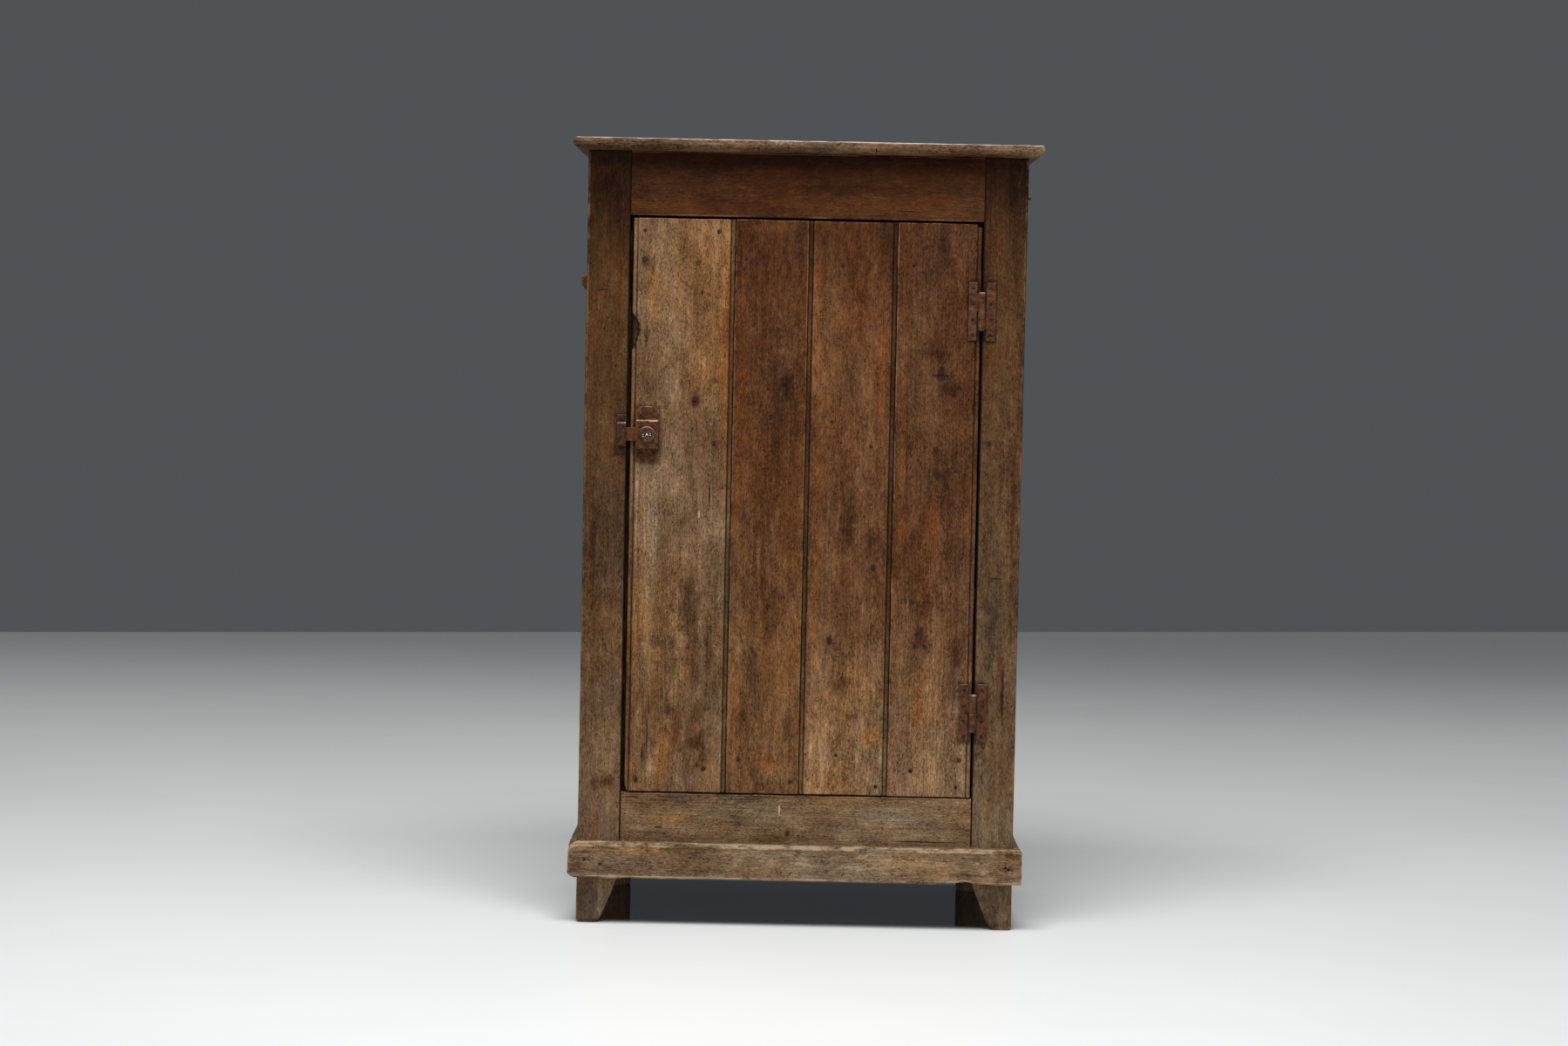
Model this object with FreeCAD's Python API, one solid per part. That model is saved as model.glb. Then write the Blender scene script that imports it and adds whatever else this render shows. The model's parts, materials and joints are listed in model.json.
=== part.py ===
import FreeCAD, Part
import math
import os

Vector = FreeCAD.Vector

# A rustic one-door storage cabinet in old softwood. Four posts run from the floor to the top, and
# their lower ends are the feet. Tenoned rails join them, boards close the sides and the back, and a
# plinth runs round the base. The door is four tongued boards nailed to three ledges. It hangs on two
# lift-off hinges and is held by a rim lock, whose plug drives the bolt with a crank pin.
# Millimetres. X runs to the right of someone facing the door, Y to the back and Z up. The origin is
# on the floor, under the middle of the top.

# Carcase
body_width = 726.0
body_depth = 436.0
carcase_height = 1283.0
post_width = 71.0
post_thickness = 34.0
rail_thickness = 26.0
top_rail_height = 106.0
bottom_rail_height = 128.0
sill_height = 219.0
tenon_length = 45.0
tenon_thickness = 9.0
tenon_shoulder = 12.0
mortise_spare = 1.0

# Feet and plinth
foot_height = 79.0
foot_taper_rise = 85.0
foot_toe_width = 37.0
foot_inner_round = 13.0
foot_outer_round = 6.0
plinth_height = 58.0
plinth_front_thickness = 20.0
plinth_side_thickness = 14.0
plinth_round = 8.0
plinth_end_round = 6.0
plinth_lower_round = 3.0

# Top
top_thickness = 20.0
top_side_overhang = 24.5
top_front_overhang = 25.0
top_arris = 4.0
top_square_edge = 5.0
top_thumb_run = 22.0
top_front_board_share = 0.56

# Side and back boards, and the rails behind them
side_thickness = 18.0
back_thickness = 14.0
side_rebate = 10.0
back_rebate = 10.0
wall_lap = 12.0
rear_rail_thickness = 20.0
rear_top_rail_height = 80.0
side_board_shares = (0.54, 0.46)
back_board_shares = (0.27, 0.22, 0.28, 0.23)

# Shelves, floor and the bearers that carry them
shelf_thickness = 20.0
shelf_front_gap = 10.0
shelf_round = 4.0
shelf_place_shares = (0.335, 0.665)
shelf_front_board_share = 0.52
sill_lip = 12.0
bearer_width = 22.0
bearer_height = 40.0

# Tongued boards, the same for the door, the sides and the back
tongue_length = 7.0
tongue_thickness = 5.0
tongue_side_fit = 0.1
tongue_end_room = 0.6
board_gap = 0.9
bead_radius = 3.6
quirk_width = 1.5

# Door
door_thickness = 20.0
door_latch_gap = 5.5
door_hinge_gap = 3.2
door_top_gap = 4.0
door_bottom_gap = 2.4
door_worn_round = 9.0
door_corner_round = 2.5
door_board_shares = (0.2935, 0.2100, 0.2565, 0.2400)
ledge_height = 80.0
ledge_thickness = 20.0
ledge_chamfer = 4.0
ledge_latch_inset = 26.0
ledge_hinge_inset = 14.0
bottom_ledge_rise = 41.0
middle_ledge_rise = 602.0
top_ledge_drop = 45.0
stop_width = 14.0
stop_gap = 0.5

# The broken edge of the first door board: where a length of its front cheek is missing
chip_top_drop = 157.0
chip_height = 61.0
chip_width = 12.0
chip_depth = 7.0
chip_outline_shares = (
    (0.0, 1.0), (0.42, 0.88), (0.93, 0.66), (1.0, 0.52), (0.74, 0.30), (0.58, 0.10), (0.0, 0.0),
)

# The corner broken off the last door board, at its hinge edge
corner_chip_width = 10.0
corner_chip_height = 6.0
corner_chip_depth = 8.0
corner_chip_outline_shares = ((0.0, 1.0), (0.30, 0.25), (0.70, 0.0), (1.0, 0.12), (1.0, 1.0))

# Hinges
hinge_leaf_height = 96.6
door_leaf_width = 13.4
frame_leaf_width = 15.0
leaf_thickness = 2.0
leaf_neck = 7.8
knuckle_radius = 6.1
knuckle_stand = 0.3
barrel_length = 64.0
barrel_split = 0.4
barrel_chamfer = 2.2
hinge_pin_radius = 3.2
hinge_pin_fit = 0.05
hinge_pin_end_cover = 6.0
lower_hinge_rise = 141.0
upper_hinge_drop = 144.0
leaf_screw_pitch = 25.8
leaf_screw_count = 4

# Lock
lock_rise = 594.0
lock_inset = 9.2
lock_plate_width = 38.0
lock_plate_height = 92.0
lock_plate_chamfer = 8.0
lock_box_side_margin = 1.0
lock_box_height = 47.0
lock_box_depth = 16.0
lock_box_round = 2.4
lock_sheet = 1.5
lock_back_thickness = 1.6
lock_back_fit = 0.2
lock_screw_side_inset = 8.0
lock_screw_end_inset = 15.5
collar_radius = 12.7
collar_height = 2.0
plug_radius = 9.3
plug_fit = 0.05
plug_flange_radius = 13.2
plug_flange_thickness = 2.0
plug_flange_room = 0.3
plug_stand = 1.4
key_slot_length = 13.0
key_slot_width = 1.8
key_depth = 3.4
crank_radius = 11.3
crank_pin_radius = 1.5
crank_turn = 45.0
crank_slack = 0.55

# Bolt and keeper
bolt_height = 22.0
bolt_thickness = 8.0
bolt_fit = 0.15
bolt_end_clearance = 0.4
bolt_lug_wall = 3.0
bolt_lug_thickness = 6.0
bolt_lug_top_wall = 2.4
bolt_nose_round = 1.0
keeper_width = 14.5
keeper_edge_inset = 1.5
keeper_sheet = 2.0
keeper_box_height = 38.7
keeper_flange_height = 12.5
keeper_depth = 13.0
keeper_bend = 3.0

# The small worn cleat on the left side, and the nail left standing in the right side
cleat_height = 25.0
cleat_stand = 8.5
cleat_depth = 18.0
cleat_front_inset = 5.0
cleat_drop = 207.0
cleat_slope = 9.0
spare_nail_drop = 66.0
spare_nail_front_inset = 12.0
spare_nail_stand = 5.0

# Fasteners
nail_head = 5.0
nail_tip = 1.6
nail_length = 33.0
top_nail_length = 52.0
screw_head_radius = 3.6
screw_head_depth = 1.8
screw_shank_radius = 1.7
screw_length = 15.0
keeper_screw_head_radius = 4.6
keeper_screw_head_height = 2.2
keeper_screw_crown_radius = 1.6
screw_sides = 8
nail_sides = 4
plinth_nail_inset = 27.0
top_nail_inset = 60.0
wall_nail_edge_share = 0.3

# Nails in the door: for each board, left to right, and each ledge, bottom to top, the places as
# shares of the board's width and the ledge's height
door_nail_shares = (
    (((0.11, 0.22), (0.78, 0.48)), ((0.82, 0.24),), ((0.11, 0.20), (0.11, 0.80), (0.83, 0.80))),
    (((0.88, 0.24), (0.16, 0.70)), ((0.50, 0.78), (0.62, 0.22)), ((0.90, 0.80), (0.15, 0.26))),
    (((0.87, 0.18), (0.42, 0.82)), ((0.30, 0.74), (0.74, 0.24)), ((0.83, 0.78), (0.38, 0.16))),
    (((0.28, 0.52), (0.83, 0.20), (0.86, 0.76)), ((0.50, 0.20),), ((0.53, 0.74), (0.19, 0.20))),
)

# Worked out from the sizes above
half_turn = 180.0
quarter_turn = 90.0
half_body = body_width / 2
opening_half = half_body - post_width
rear_face = (body_depth + top_front_overhang) / 2
front_face = rear_face - body_depth
post_back = front_face + post_thickness
rail_back = front_face + rail_thickness
rear_post_front = rear_face - post_thickness
back_boards_front = rear_face - back_thickness
side_inner = half_body - side_thickness
side_row_front = post_back - side_rebate
side_row_width = rear_post_front + side_rebate - side_row_front
plinth_top = foot_height + plinth_height
wall_base = foot_height + wall_lap
lintel_height = carcase_height - top_rail_height
top_surface = carcase_height + top_thickness
floor_top = sill_height - sill_lip
floor_underside = floor_top - shelf_thickness
shelf_front = post_back + shelf_front_gap
shelf_tops = [floor_top + share * (carcase_height - floor_top) for share in shelf_place_shares]

door_left = -opening_half + door_latch_gap
door_right = opening_half - door_hinge_gap
door_bottom = sill_height + door_bottom_gap
door_top = lintel_height - door_top_gap
door_width = door_right - door_left
door_height = door_top - door_bottom
door_back = front_face + door_thickness
ledge_centres = [door_bottom + bottom_ledge_rise, door_bottom + middle_ledge_rise, door_top - top_ledge_drop]

hinge_x = (door_right + opening_half) / 2
hinge_y = front_face - knuckle_radius - knuckle_stand
hinge_heights = {"lower": door_bottom + lower_hinge_rise, "upper": door_top - upper_hinge_drop}

lock_x = door_left + lock_inset + lock_plate_width / 2
lock_z = door_bottom + lock_rise
lock_front = front_face - lock_box_depth
keeper_right = -opening_half - keeper_edge_inset
bolt_back_room = lock_back_thickness + bolt_fit
bolt_throw = crank_radius * math.sin(math.radians(crank_turn))


def block(x_span, y_span, z_span):
    """A box between the two ends of each span."""
    low = Vector(x_span[0], y_span[0], z_span[0])
    return Part.makeBox(x_span[1] - x_span[0], y_span[1] - y_span[0], z_span[1] - z_span[0], low)


def face_through(start, *steps):
    """A flat face whose outline goes by straight steps, or by (middle, end) pairs for arcs."""
    edges = []
    here = start
    for step in steps:
        if isinstance(step, tuple):
            edges.append(Part.Arc(here, step[0], step[1]).toShape())
            here = step[1]
        else:
            edges.append(Part.makeLine(here, step))
            here = step
    edges.append(Part.makeLine(here, start))
    return Part.Face(Part.Wire(edges))


def rounded_face(*corners):
    """A flat face from (point, radius) corners. A radius of zero leaves the corner sharp."""
    steps = []
    for number, (point, radius) in enumerate(corners):
        to_last = (corners[number - 1][0] - point).normalize()
        to_next = (corners[(number + 1) % len(corners)][0] - point).normalize()
        if not radius:
            steps.append(point)
            continue
        half_angle = to_last.getAngle(to_next) / 2
        reach = radius / math.tan(half_angle)
        inward = (to_last + to_next).normalize()
        steps.append(point + to_last * reach)
        steps.append((point + inward * (radius / math.sin(half_angle) - radius), point + to_next * reach))
    return face_through(*steps)


def upright_face(y, *corners):
    """A face in a plane that faces the front, from (x, z, radius) corners."""
    return rounded_face(*[(Vector(x, y, z), radius) for x, z, radius in corners])


def side_on_face(x, *corners):
    """A face in a plane that faces the side, from (y, z, radius) corners."""
    return rounded_face(*[(Vector(x, y, z), radius) for y, z, radius in corners])


def mirrored(shape):
    """The same piece for the other side of the cabinet."""
    return shape.mirror(Vector(0, 0, 0), Vector(1, 0, 0))


def drilled(piece, fasteners):
    """The piece with a seat cut for each fastener that reaches it."""
    near = [fastener for fastener in fasteners if fastener.BoundBox.intersect(piece.BoundBox)]
    return piece.cut(near) if near else piece


def sided_pin(sides, *rings):
    """A pin along Y with flat sides, through rings given as (radius, depth) from its head."""
    loops = []
    for radius, depth in rings:
        turns = [2 * math.pi * (number + 1 / 2) / sides for number in range(sides)]
        loops.append([Vector(radius * math.cos(turn), depth, radius * math.sin(turn)) for turn in turns])
    faces = [Part.Face(Part.makePolygon(loop + loop[:1])) for loop in (loops[0], loops[-1])]
    for near, far in zip(loops, loops[1:]):
        for side in range(sides):
            following = (side + 1) % sides
            corners = [near[side], near[following], far[following], far[side]]
            faces.append(Part.Face(Part.makePolygon(corners + corners[:1])))
    pin = Part.Solid(Part.Shell(faces))
    return pin if pin.Volume > 0 else pin.reversed()


def nail(point, direction, length=nail_length):
    """A tapered cut nail driven this way, its square end flush with the surface at this point."""
    to_corner = math.sqrt(2) / 2
    driven = sided_pin(nail_sides, (nail_head * to_corner, 0), (nail_tip * to_corner, length))
    driven.Placement = FreeCAD.Placement(point, FreeCAD.Rotation(Vector(0, 1, 0), direction))
    return driven


def screw(point):
    """A countersunk screw, flush at this point and driven to the back."""
    turned = sided_pin(
        screw_sides,
        (screw_head_radius, 0),
        (screw_shank_radius, screw_head_depth),
        (screw_shank_radius, screw_length),
    )
    turned.translate(point)
    return turned


def round_head_screw(point):
    """A round-headed screw whose head stands on the surface at this point."""
    bend = math.radians(quarter_turn / 2)
    turned = sided_pin(
        screw_sides,
        (keeper_screw_crown_radius, -keeper_screw_head_height),
        (keeper_screw_head_radius * math.cos(bend), -keeper_screw_head_height * math.sin(bend)),
        (keeper_screw_head_radius, 0),
    )
    turned = turned.fuse(sided_pin(screw_sides, (screw_shank_radius, 0), (screw_shank_radius, screw_length)))
    turned.translate(point)
    return turned


def board_section(width, thickness, groove, tongue, left_bead=False, right_bead=False):
    """A board's cross-section, its face on the X axis and its thickness towards the back."""
    left = board_gap / 2 if groove else 0
    right = width - board_gap / 2 if tongue else width
    tongue_front = (thickness - tongue_thickness) / 2
    tongue_back = tongue_front + tongue_thickness
    bead = 2 * bead_radius
    if left_bead:
        start = Vector(left, bead_radius, 0)
        steps = [
            (Vector(left + bead_radius, 0, 0), Vector(left + bead, bead_radius, 0)),
            Vector(left + bead + quirk_width, 0, 0),
        ]
    else:
        start = Vector(left, 0, 0)
        steps = []
    if right_bead:
        steps += [
            Vector(right - bead - quirk_width, 0, 0),
            Vector(right - bead, bead_radius, 0),
            (Vector(right - bead_radius, 0, 0), Vector(right, bead_radius, 0)),
        ]
    else:
        steps.append(Vector(right, 0, 0))
    if tongue:
        tip = width + tongue_length
        steps += [Vector(right, tongue_front, 0), Vector(tip, tongue_front, 0)]
        steps += [Vector(tip, tongue_back, 0), Vector(right, tongue_back, 0)]
    steps += [Vector(right, thickness, 0), Vector(left, thickness, 0)]
    if groove:
        floor = tongue_length + tongue_end_room
        groove_front = tongue_front - tongue_side_fit
        groove_back = tongue_back + tongue_side_fit
        steps += [Vector(left, groove_back, 0), Vector(floor, groove_back, 0)]
        steps += [Vector(floor, groove_front, 0), Vector(left, groove_front, 0)]
    return face_through(start, *steps)


def board_row(total, shares, thickness, length, beads=None):
    """A row of tongued boards of this total width, standing on the X axis."""
    boards = []
    start = 0.0
    for number, share in enumerate(shares):
        width = total * share
        left_bead, right_bead = beads[number] if beads else (False, False)
        section = board_section(width, thickness, number > 0, number < len(shares) - 1, left_bead, right_bead)
        board = section.extrude(Vector(0, 0, length))
        board.translate(Vector(start, 0, 0))
        boards.append(board)
        start += width
    return boards


def placed(pieces, turn, corner):
    """The pieces turned about the upright axis, then moved so that their start is at the corner."""
    moved = []
    for piece in pieces:
        copy = piece.copy()
        copy.rotate(Vector(0, 0, 0), Vector(0, 0, 1), turn)
        copy.translate(corner)
        moved.append(copy)
    return moved


# Posts and rails

front_rails = {
    "top_rail": ((front_face, rail_back), (lintel_height, carcase_height)),
    "bottom_rail": ((front_face, rail_back), (sill_height - bottom_rail_height, sill_height)),
}
rear_rail_y = (rear_post_front, rear_post_front + rear_rail_thickness)
rear_rails = {
    "rear_top_rail": (rear_rail_y, (carcase_height - rear_top_rail_height, carcase_height)),
    "rear_bottom_rail": (rear_rail_y, (wall_base, floor_underside)),
}


def tenon(y_span, z_span, length):
    """What a rail in these spans puts into the right-hand post."""
    middle = (y_span[0] + y_span[1]) / 2
    cheeks = (middle - tenon_thickness / 2, middle + tenon_thickness / 2)
    shoulders = (z_span[0] + tenon_shoulder, z_span[1] - tenon_shoulder)
    return block((opening_half, opening_half + length), cheeks, shoulders)


def make_rail(y_span, z_span):
    right_tenon = tenon(y_span, z_span, tenon_length)
    body = block((-opening_half, opening_half), y_span, z_span)
    return body.fuse([right_tenon, mirrored(right_tenon)]).removeSplitter()


def front_post():
    """The right-hand front post, rebated for the side boards. Its foot narrows and is worn round."""
    outline = upright_face(
        front_face,
        (half_body, 0, foot_outer_round),
        (half_body, carcase_height, 0),
        (opening_half, carcase_height, 0),
        (opening_half, foot_taper_rise, 0),
        (half_body - foot_toe_width, 0, foot_inner_round),
    )
    seat_y = (post_back - side_rebate, post_back)
    side_seat = block((side_inner, half_body), seat_y, (wall_base, carcase_height))
    mortises = [tenon(*spans, tenon_length + mortise_spare) for spans in front_rails.values()]
    return outline.extrude(Vector(0, post_thickness, 0)).cut([side_seat, *mortises])


def rear_post():
    """The right-hand rear post, straight to the floor and rebated for the side and back boards."""
    outline = upright_face(
        rear_post_front,
        (half_body, 0, foot_outer_round),
        (half_body, carcase_height, 0),
        (opening_half, carcase_height, 0),
        (opening_half, 0, foot_outer_round),
    )
    walls = (wall_base, carcase_height)
    back_seat = block((opening_half, opening_half + back_rebate), (back_boards_front, rear_face), walls)
    side_seat = block((side_inner, half_body), (rear_post_front, rear_post_front + side_rebate), walls)
    mortises = [tenon(*spans, tenon_length + mortise_spare) for spans in rear_rails.values()]
    return outline.extrude(Vector(0, post_thickness, 0)).cut([back_seat, side_seat, *mortises])


# Walls, plinth and top


def side_boards():
    """The boards of the right-hand side, the front one first."""
    row = board_row(side_row_width, side_board_shares, side_thickness, carcase_height - wall_base)
    return placed(row, quarter_turn, Vector(half_body, side_row_front, wall_base))


def back_boards():
    """The boards of the back, from the right-hand side to the left."""
    half = opening_half + back_rebate
    row = board_row(2 * half, back_board_shares, back_thickness, carcase_height - wall_base)
    return placed(row, half_turn, Vector(half, rear_face, wall_base))


def front_plinth():
    half = half_body + plinth_side_thickness
    plinth_face = front_face - plinth_front_thickness
    section = side_on_face(
        -half,
        (plinth_face, foot_height, plinth_lower_round),
        (plinth_face, plinth_top, plinth_round),
        (front_face, plinth_top, 0),
        (front_face, foot_height, 0),
    )
    ends = upright_face(
        plinth_face,
        (-half, foot_height, plinth_lower_round),
        (half, foot_height, plinth_lower_round),
        (half, plinth_top, plinth_lower_round),
        (-half, plinth_top, plinth_end_round),
    )
    return section.extrude(Vector(2 * half, 0, 0)).common(ends.extrude(Vector(0, plinth_front_thickness, 0)))


def side_plinth():
    """The right-hand plinth board, which butts against the back of the front one."""
    outer = half_body + plinth_side_thickness
    section = upright_face(
        front_face,
        (half_body, foot_height, 0),
        (outer, foot_height, plinth_lower_round),
        (outer, plinth_top, plinth_end_round),
        (half_body, plinth_top, 0),
    )
    return section.extrude(Vector(0, body_depth, 0))


def thumb_edge(corner, outward):
    """The steps of the top's moulded edge, from its upper arris down and in to the underside."""
    inward = outward * -1
    down = Vector(0, 0, -1)
    eased = math.radians(quarter_turn / 2)
    arris_middle = corner + (inward + down) * (top_arris * (1 - math.sin(eased)))
    arris_end = corner + down * top_arris
    thumb_start = corner + down * (top_arris + top_square_edge)
    thumb_drop = top_thickness - top_arris - top_square_edge
    thumb_middle = thumb_start + inward * (top_thumb_run * (1 - math.cos(eased)))
    thumb_middle += down * (thumb_drop * math.sin(eased))
    thumb_end = thumb_start + inward * top_thumb_run + down * thumb_drop
    return [corner + inward * top_arris, (arris_middle, arris_end), thumb_start, (thumb_middle, thumb_end)]


def top_boards():
    """The two boards of the top, front and rear, with a thumb mould on three sides."""
    half = half_body + top_side_overhang
    front = front_face - top_front_overhang
    top = carcase_height + top_thickness
    depth = rear_face - front
    side_edge = thumb_edge(Vector(half, front, top), Vector(1, 0, 0))
    half_section = face_through(*side_edge, Vector(0, front, carcase_height), Vector(0, front, top))
    right_half = half_section.extrude(Vector(0, depth, 0))
    across = right_half.fuse(mirrored(right_half)).removeSplitter()
    front_edge = thumb_edge(Vector(-half, front, top), Vector(0, -1, 0))
    rear_edge = (Vector(-half, rear_face, carcase_height), Vector(-half, rear_face, top))
    side_on = face_through(*front_edge, *rear_edge)
    slab = across.common(side_on.extrude(Vector(2 * half, 0, 0)))
    joint = front + depth * top_front_board_share
    front_half = block((-half, half), (front, joint - board_gap / 2), (carcase_height, top))
    rear_half = block((-half, half), (joint + board_gap / 2, rear_face), (carcase_height, top))
    return slab.common(front_half), slab.common(rear_half)


# Floor, shelves and bearers


def deck(front, top):
    """The front and rear boards of a floor or shelf, notched round the posts that they meet."""
    underside = top - shelf_thickness
    section = side_on_face(
        -side_inner,
        (front, underside, shelf_round),
        (front, top, shelf_round),
        (back_boards_front, top, 0),
        (back_boards_front, underside, 0),
    )
    notches = []
    for low, high in ((front_face, post_back), (rear_post_front, rear_face)):
        notch = block((opening_half, half_body), (low, high), (underside, top))
        notches += [notch, mirrored(notch)]
    slab = section.extrude(Vector(2 * side_inner, 0, 0)).cut(notches)
    joint = front + (back_boards_front - front) * shelf_front_board_share
    across = (-side_inner, side_inner)
    front_half = block(across, (front, joint - board_gap / 2), (underside, top))
    rear_half = block(across, (joint + board_gap / 2, back_boards_front), (underside, top))
    return slab.common(front_half), slab.common(rear_half)


def bearer(top):
    """A bearer inside the right-hand side, between the front and rear posts."""
    across = (side_inner - bearer_width, side_inner)
    return block(across, (post_back, rear_post_front), (top - bearer_height, top))


bearer_tops = {
    "floor": floor_underside,
    "lower_shelf": shelf_tops[0] - shelf_thickness,
    "upper_shelf": shelf_tops[1] - shelf_thickness,
    "top": carcase_height,
}


def door_stop():
    """The strip on the left post that the door's boards close against."""
    return block(
        (-opening_half, -opening_half + stop_width),
        (door_back + stop_gap, post_back),
        (sill_height, lintel_height),
    )


def side_cleat():
    """A small block nailed to the left side, worn to a slope below."""
    face = -half_body
    top = carcase_height - cleat_drop
    outline = upright_face(
        front_face + cleat_front_inset,
        (face, top, 0),
        (face - cleat_stand, top, 0),
        (face - cleat_stand, top - cleat_height + cleat_slope, 0),
        (face, top - cleat_height, 0),
    )
    return outline.extrude(Vector(0, cleat_depth, 0))


# Door


def door_boards():
    beads = ((True, True), (False, False), (True, True), (False, True))
    row = board_row(door_width, door_board_shares, door_thickness, door_height, beads)
    row = placed(row, 0, Vector(door_left, front_face, door_bottom))
    outline = upright_face(
        front_face,
        (door_left, door_bottom, door_worn_round),
        (door_right, door_bottom, door_corner_round),
        (door_right, door_top, door_corner_round),
        (door_left, door_top, door_corner_round),
    )
    door_space = outline.extrude(Vector(0, door_thickness, 0))
    boards = [board.common(door_space) for board in row]
    boards[0] = boards[0].cut(broken_edge())
    boards[-1] = boards[-1].cut(broken_corner())
    return boards


def broken_edge():
    """What is missing from the first board's latch edge."""
    low = door_top - chip_top_drop - chip_height
    outline = [
        (door_left + chip_width * across, low + chip_height * up, 0) for across, up in chip_outline_shares
    ]
    return upright_face(front_face, *outline).extrude(Vector(0, chip_depth, 0))


def broken_corner():
    """What is missing from the last board's upper corner."""
    left = door_right - corner_chip_width
    low = door_top - corner_chip_height
    outline = [
        (left + corner_chip_width * across, low + corner_chip_height * up, 0)
        for across, up in corner_chip_outline_shares
    ]
    return upright_face(front_face, *outline).extrude(Vector(0, corner_chip_depth, 0))


def ledge(centre):
    """One of the ledges across the back of the door, with a chamfered face."""
    back = door_back + ledge_thickness
    low = centre - ledge_height / 2
    high = centre + ledge_height / 2
    start = door_left + ledge_latch_inset
    section = side_on_face(
        start,
        (door_back, low, 0),
        (back - ledge_chamfer, low, 0),
        (back, low + ledge_chamfer, 0),
        (back, high - ledge_chamfer, 0),
        (back - ledge_chamfer, high, 0),
        (door_back, high, 0),
    )
    return section.extrude(Vector(door_right - ledge_hinge_inset - start, 0, 0))


# Hinges, each made round its own axis at the height of the split between its knuckles


def knuckle(upward):
    """One knuckle of the barrel, chamfered at its far end, above or below the split."""
    start = barrel_split / 2
    end = barrel_length / 2
    outline = face_through(
        Vector(0, 0, start),
        Vector(knuckle_radius, 0, start),
        Vector(knuckle_radius, 0, end - barrel_chamfer),
        Vector(knuckle_radius - barrel_chamfer, 0, end),
        Vector(0, 0, end),
    )
    turned = outline.revolve(Vector(0, 0, 0), Vector(0, 0, 1), 2 * half_turn)
    return turned if upward else turned.mirror(Vector(0, 0, 0), Vector(0, 0, 1))


def hinge_leaf(side, width, upward):
    """A leaf with its knuckle: side is -1 for the door's and 1 for the frame's."""
    wood = knuckle_radius + knuckle_stand
    plate_y = (wood - leaf_thickness, wood)
    half = hinge_leaf_height / 2
    near, far = sorted((side * leaf_neck, side * (leaf_neck + width)))
    plate = block((near, far), plate_y, (-half, half))
    neck_x = tuple(sorted((0, side * leaf_neck)))
    neck_end = barrel_length / 2 - barrel_chamfer
    neck_z = (barrel_split / 2, neck_end) if upward else (-neck_end, -barrel_split / 2)
    neck = block(neck_x, plate_y, neck_z)
    leaf = plate.fuse([neck, knuckle(upward)]).removeSplitter()
    bore_end = barrel_length / 2 - hinge_pin_end_cover
    if upward:
        bore = Part.makeCylinder(hinge_pin_radius + hinge_pin_fit, bore_end)
    else:
        bore = Part.makeCylinder(hinge_pin_radius, bore_end, Vector(0, 0, -bore_end))
    return leaf.cut(bore)


def hinge_pin():
    """The pin, fast in the frame's knuckle and running in the door's."""
    reach = barrel_length / 2 - hinge_pin_end_cover
    return Part.makeCylinder(hinge_pin_radius, 2 * reach - hinge_pin_fit, Vector(0, 0, -reach))


def at_hinge(piece, height):
    copy = piece.copy()
    copy.translate(Vector(hinge_x, hinge_y, height))
    return copy


def leaf_screws(side, width):
    """The four screws of each leaf on this side of both hinges."""
    x = hinge_x + side * (leaf_neck + width / 2)
    rise = leaf_screw_pitch * (leaf_screw_count - 1) / 2
    return [
        screw(Vector(x, front_face - leaf_thickness, height - rise + number * leaf_screw_pitch))
        for height in hinge_heights.values()
        for number in range(leaf_screw_count)
    ]


# Lock, with depths measured out from the face of the door


def out_from_door(depth):
    return front_face - depth


def turned_about_lock(radius, depth_span):
    """A round piece on the lock's axis between two depths."""
    base = Vector(lock_x, out_from_door(depth_span[0]), lock_z)
    return Part.makeCylinder(radius, depth_span[1] - depth_span[0], base, Vector(0, -1, 0))


def lock_case():
    """The folded cover of the lock, with its two flanges and the collar round the plug."""
    half_plate = lock_plate_width / 2
    half_height = lock_plate_height / 2
    plate = upright_face(
        front_face,
        (lock_x - half_plate + lock_plate_chamfer, lock_z - half_height, 0),
        (lock_x + half_plate - lock_plate_chamfer, lock_z - half_height, 0),
        (lock_x + half_plate, lock_z - half_height + lock_plate_chamfer, 0),
        (lock_x + half_plate, lock_z + half_height - lock_plate_chamfer, 0),
        (lock_x + half_plate - lock_plate_chamfer, lock_z + half_height, 0),
        (lock_x - half_plate + lock_plate_chamfer, lock_z + half_height, 0),
        (lock_x - half_plate, lock_z + half_height - lock_plate_chamfer, 0),
        (lock_x - half_plate, lock_z - half_height + lock_plate_chamfer, 0),
    ).extrude(Vector(0, -lock_sheet, 0))
    half_box = half_plate - lock_box_side_margin
    half_rise = lock_box_height / 2
    box = side_on_face(
        lock_x - half_box,
        (front_face, lock_z - half_rise, 0),
        (lock_front, lock_z - half_rise, lock_box_round),
        (lock_front, lock_z + half_rise, lock_box_round),
        (front_face, lock_z + half_rise, 0),
    ).extrude(Vector(2 * half_box, 0, 0))
    collar = turned_about_lock(collar_radius, (lock_box_depth - lock_sheet, lock_box_depth + collar_height))
    cover = plate.fuse([box, collar]).removeSplitter()
    hollow = block(
        (lock_x - half_box + lock_sheet, lock_x + half_box - lock_sheet),
        (lock_front + lock_sheet, front_face),
        (lock_z - half_rise + lock_sheet, lock_z + half_rise - lock_sheet),
    )
    plug_hole = turned_about_lock(plug_radius + plug_fit, (0, lock_box_depth + collar_height))
    half_slot = bolt_height / 2 + bolt_fit
    bolt_slot = block(
        (lock_x - half_plate, lock_x),
        (out_from_door(bolt_back_room + bolt_thickness + bolt_fit), front_face),
        (lock_z - half_slot, lock_z + half_slot),
    )
    return cover.cut([hollow, plug_hole, bolt_slot])


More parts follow.
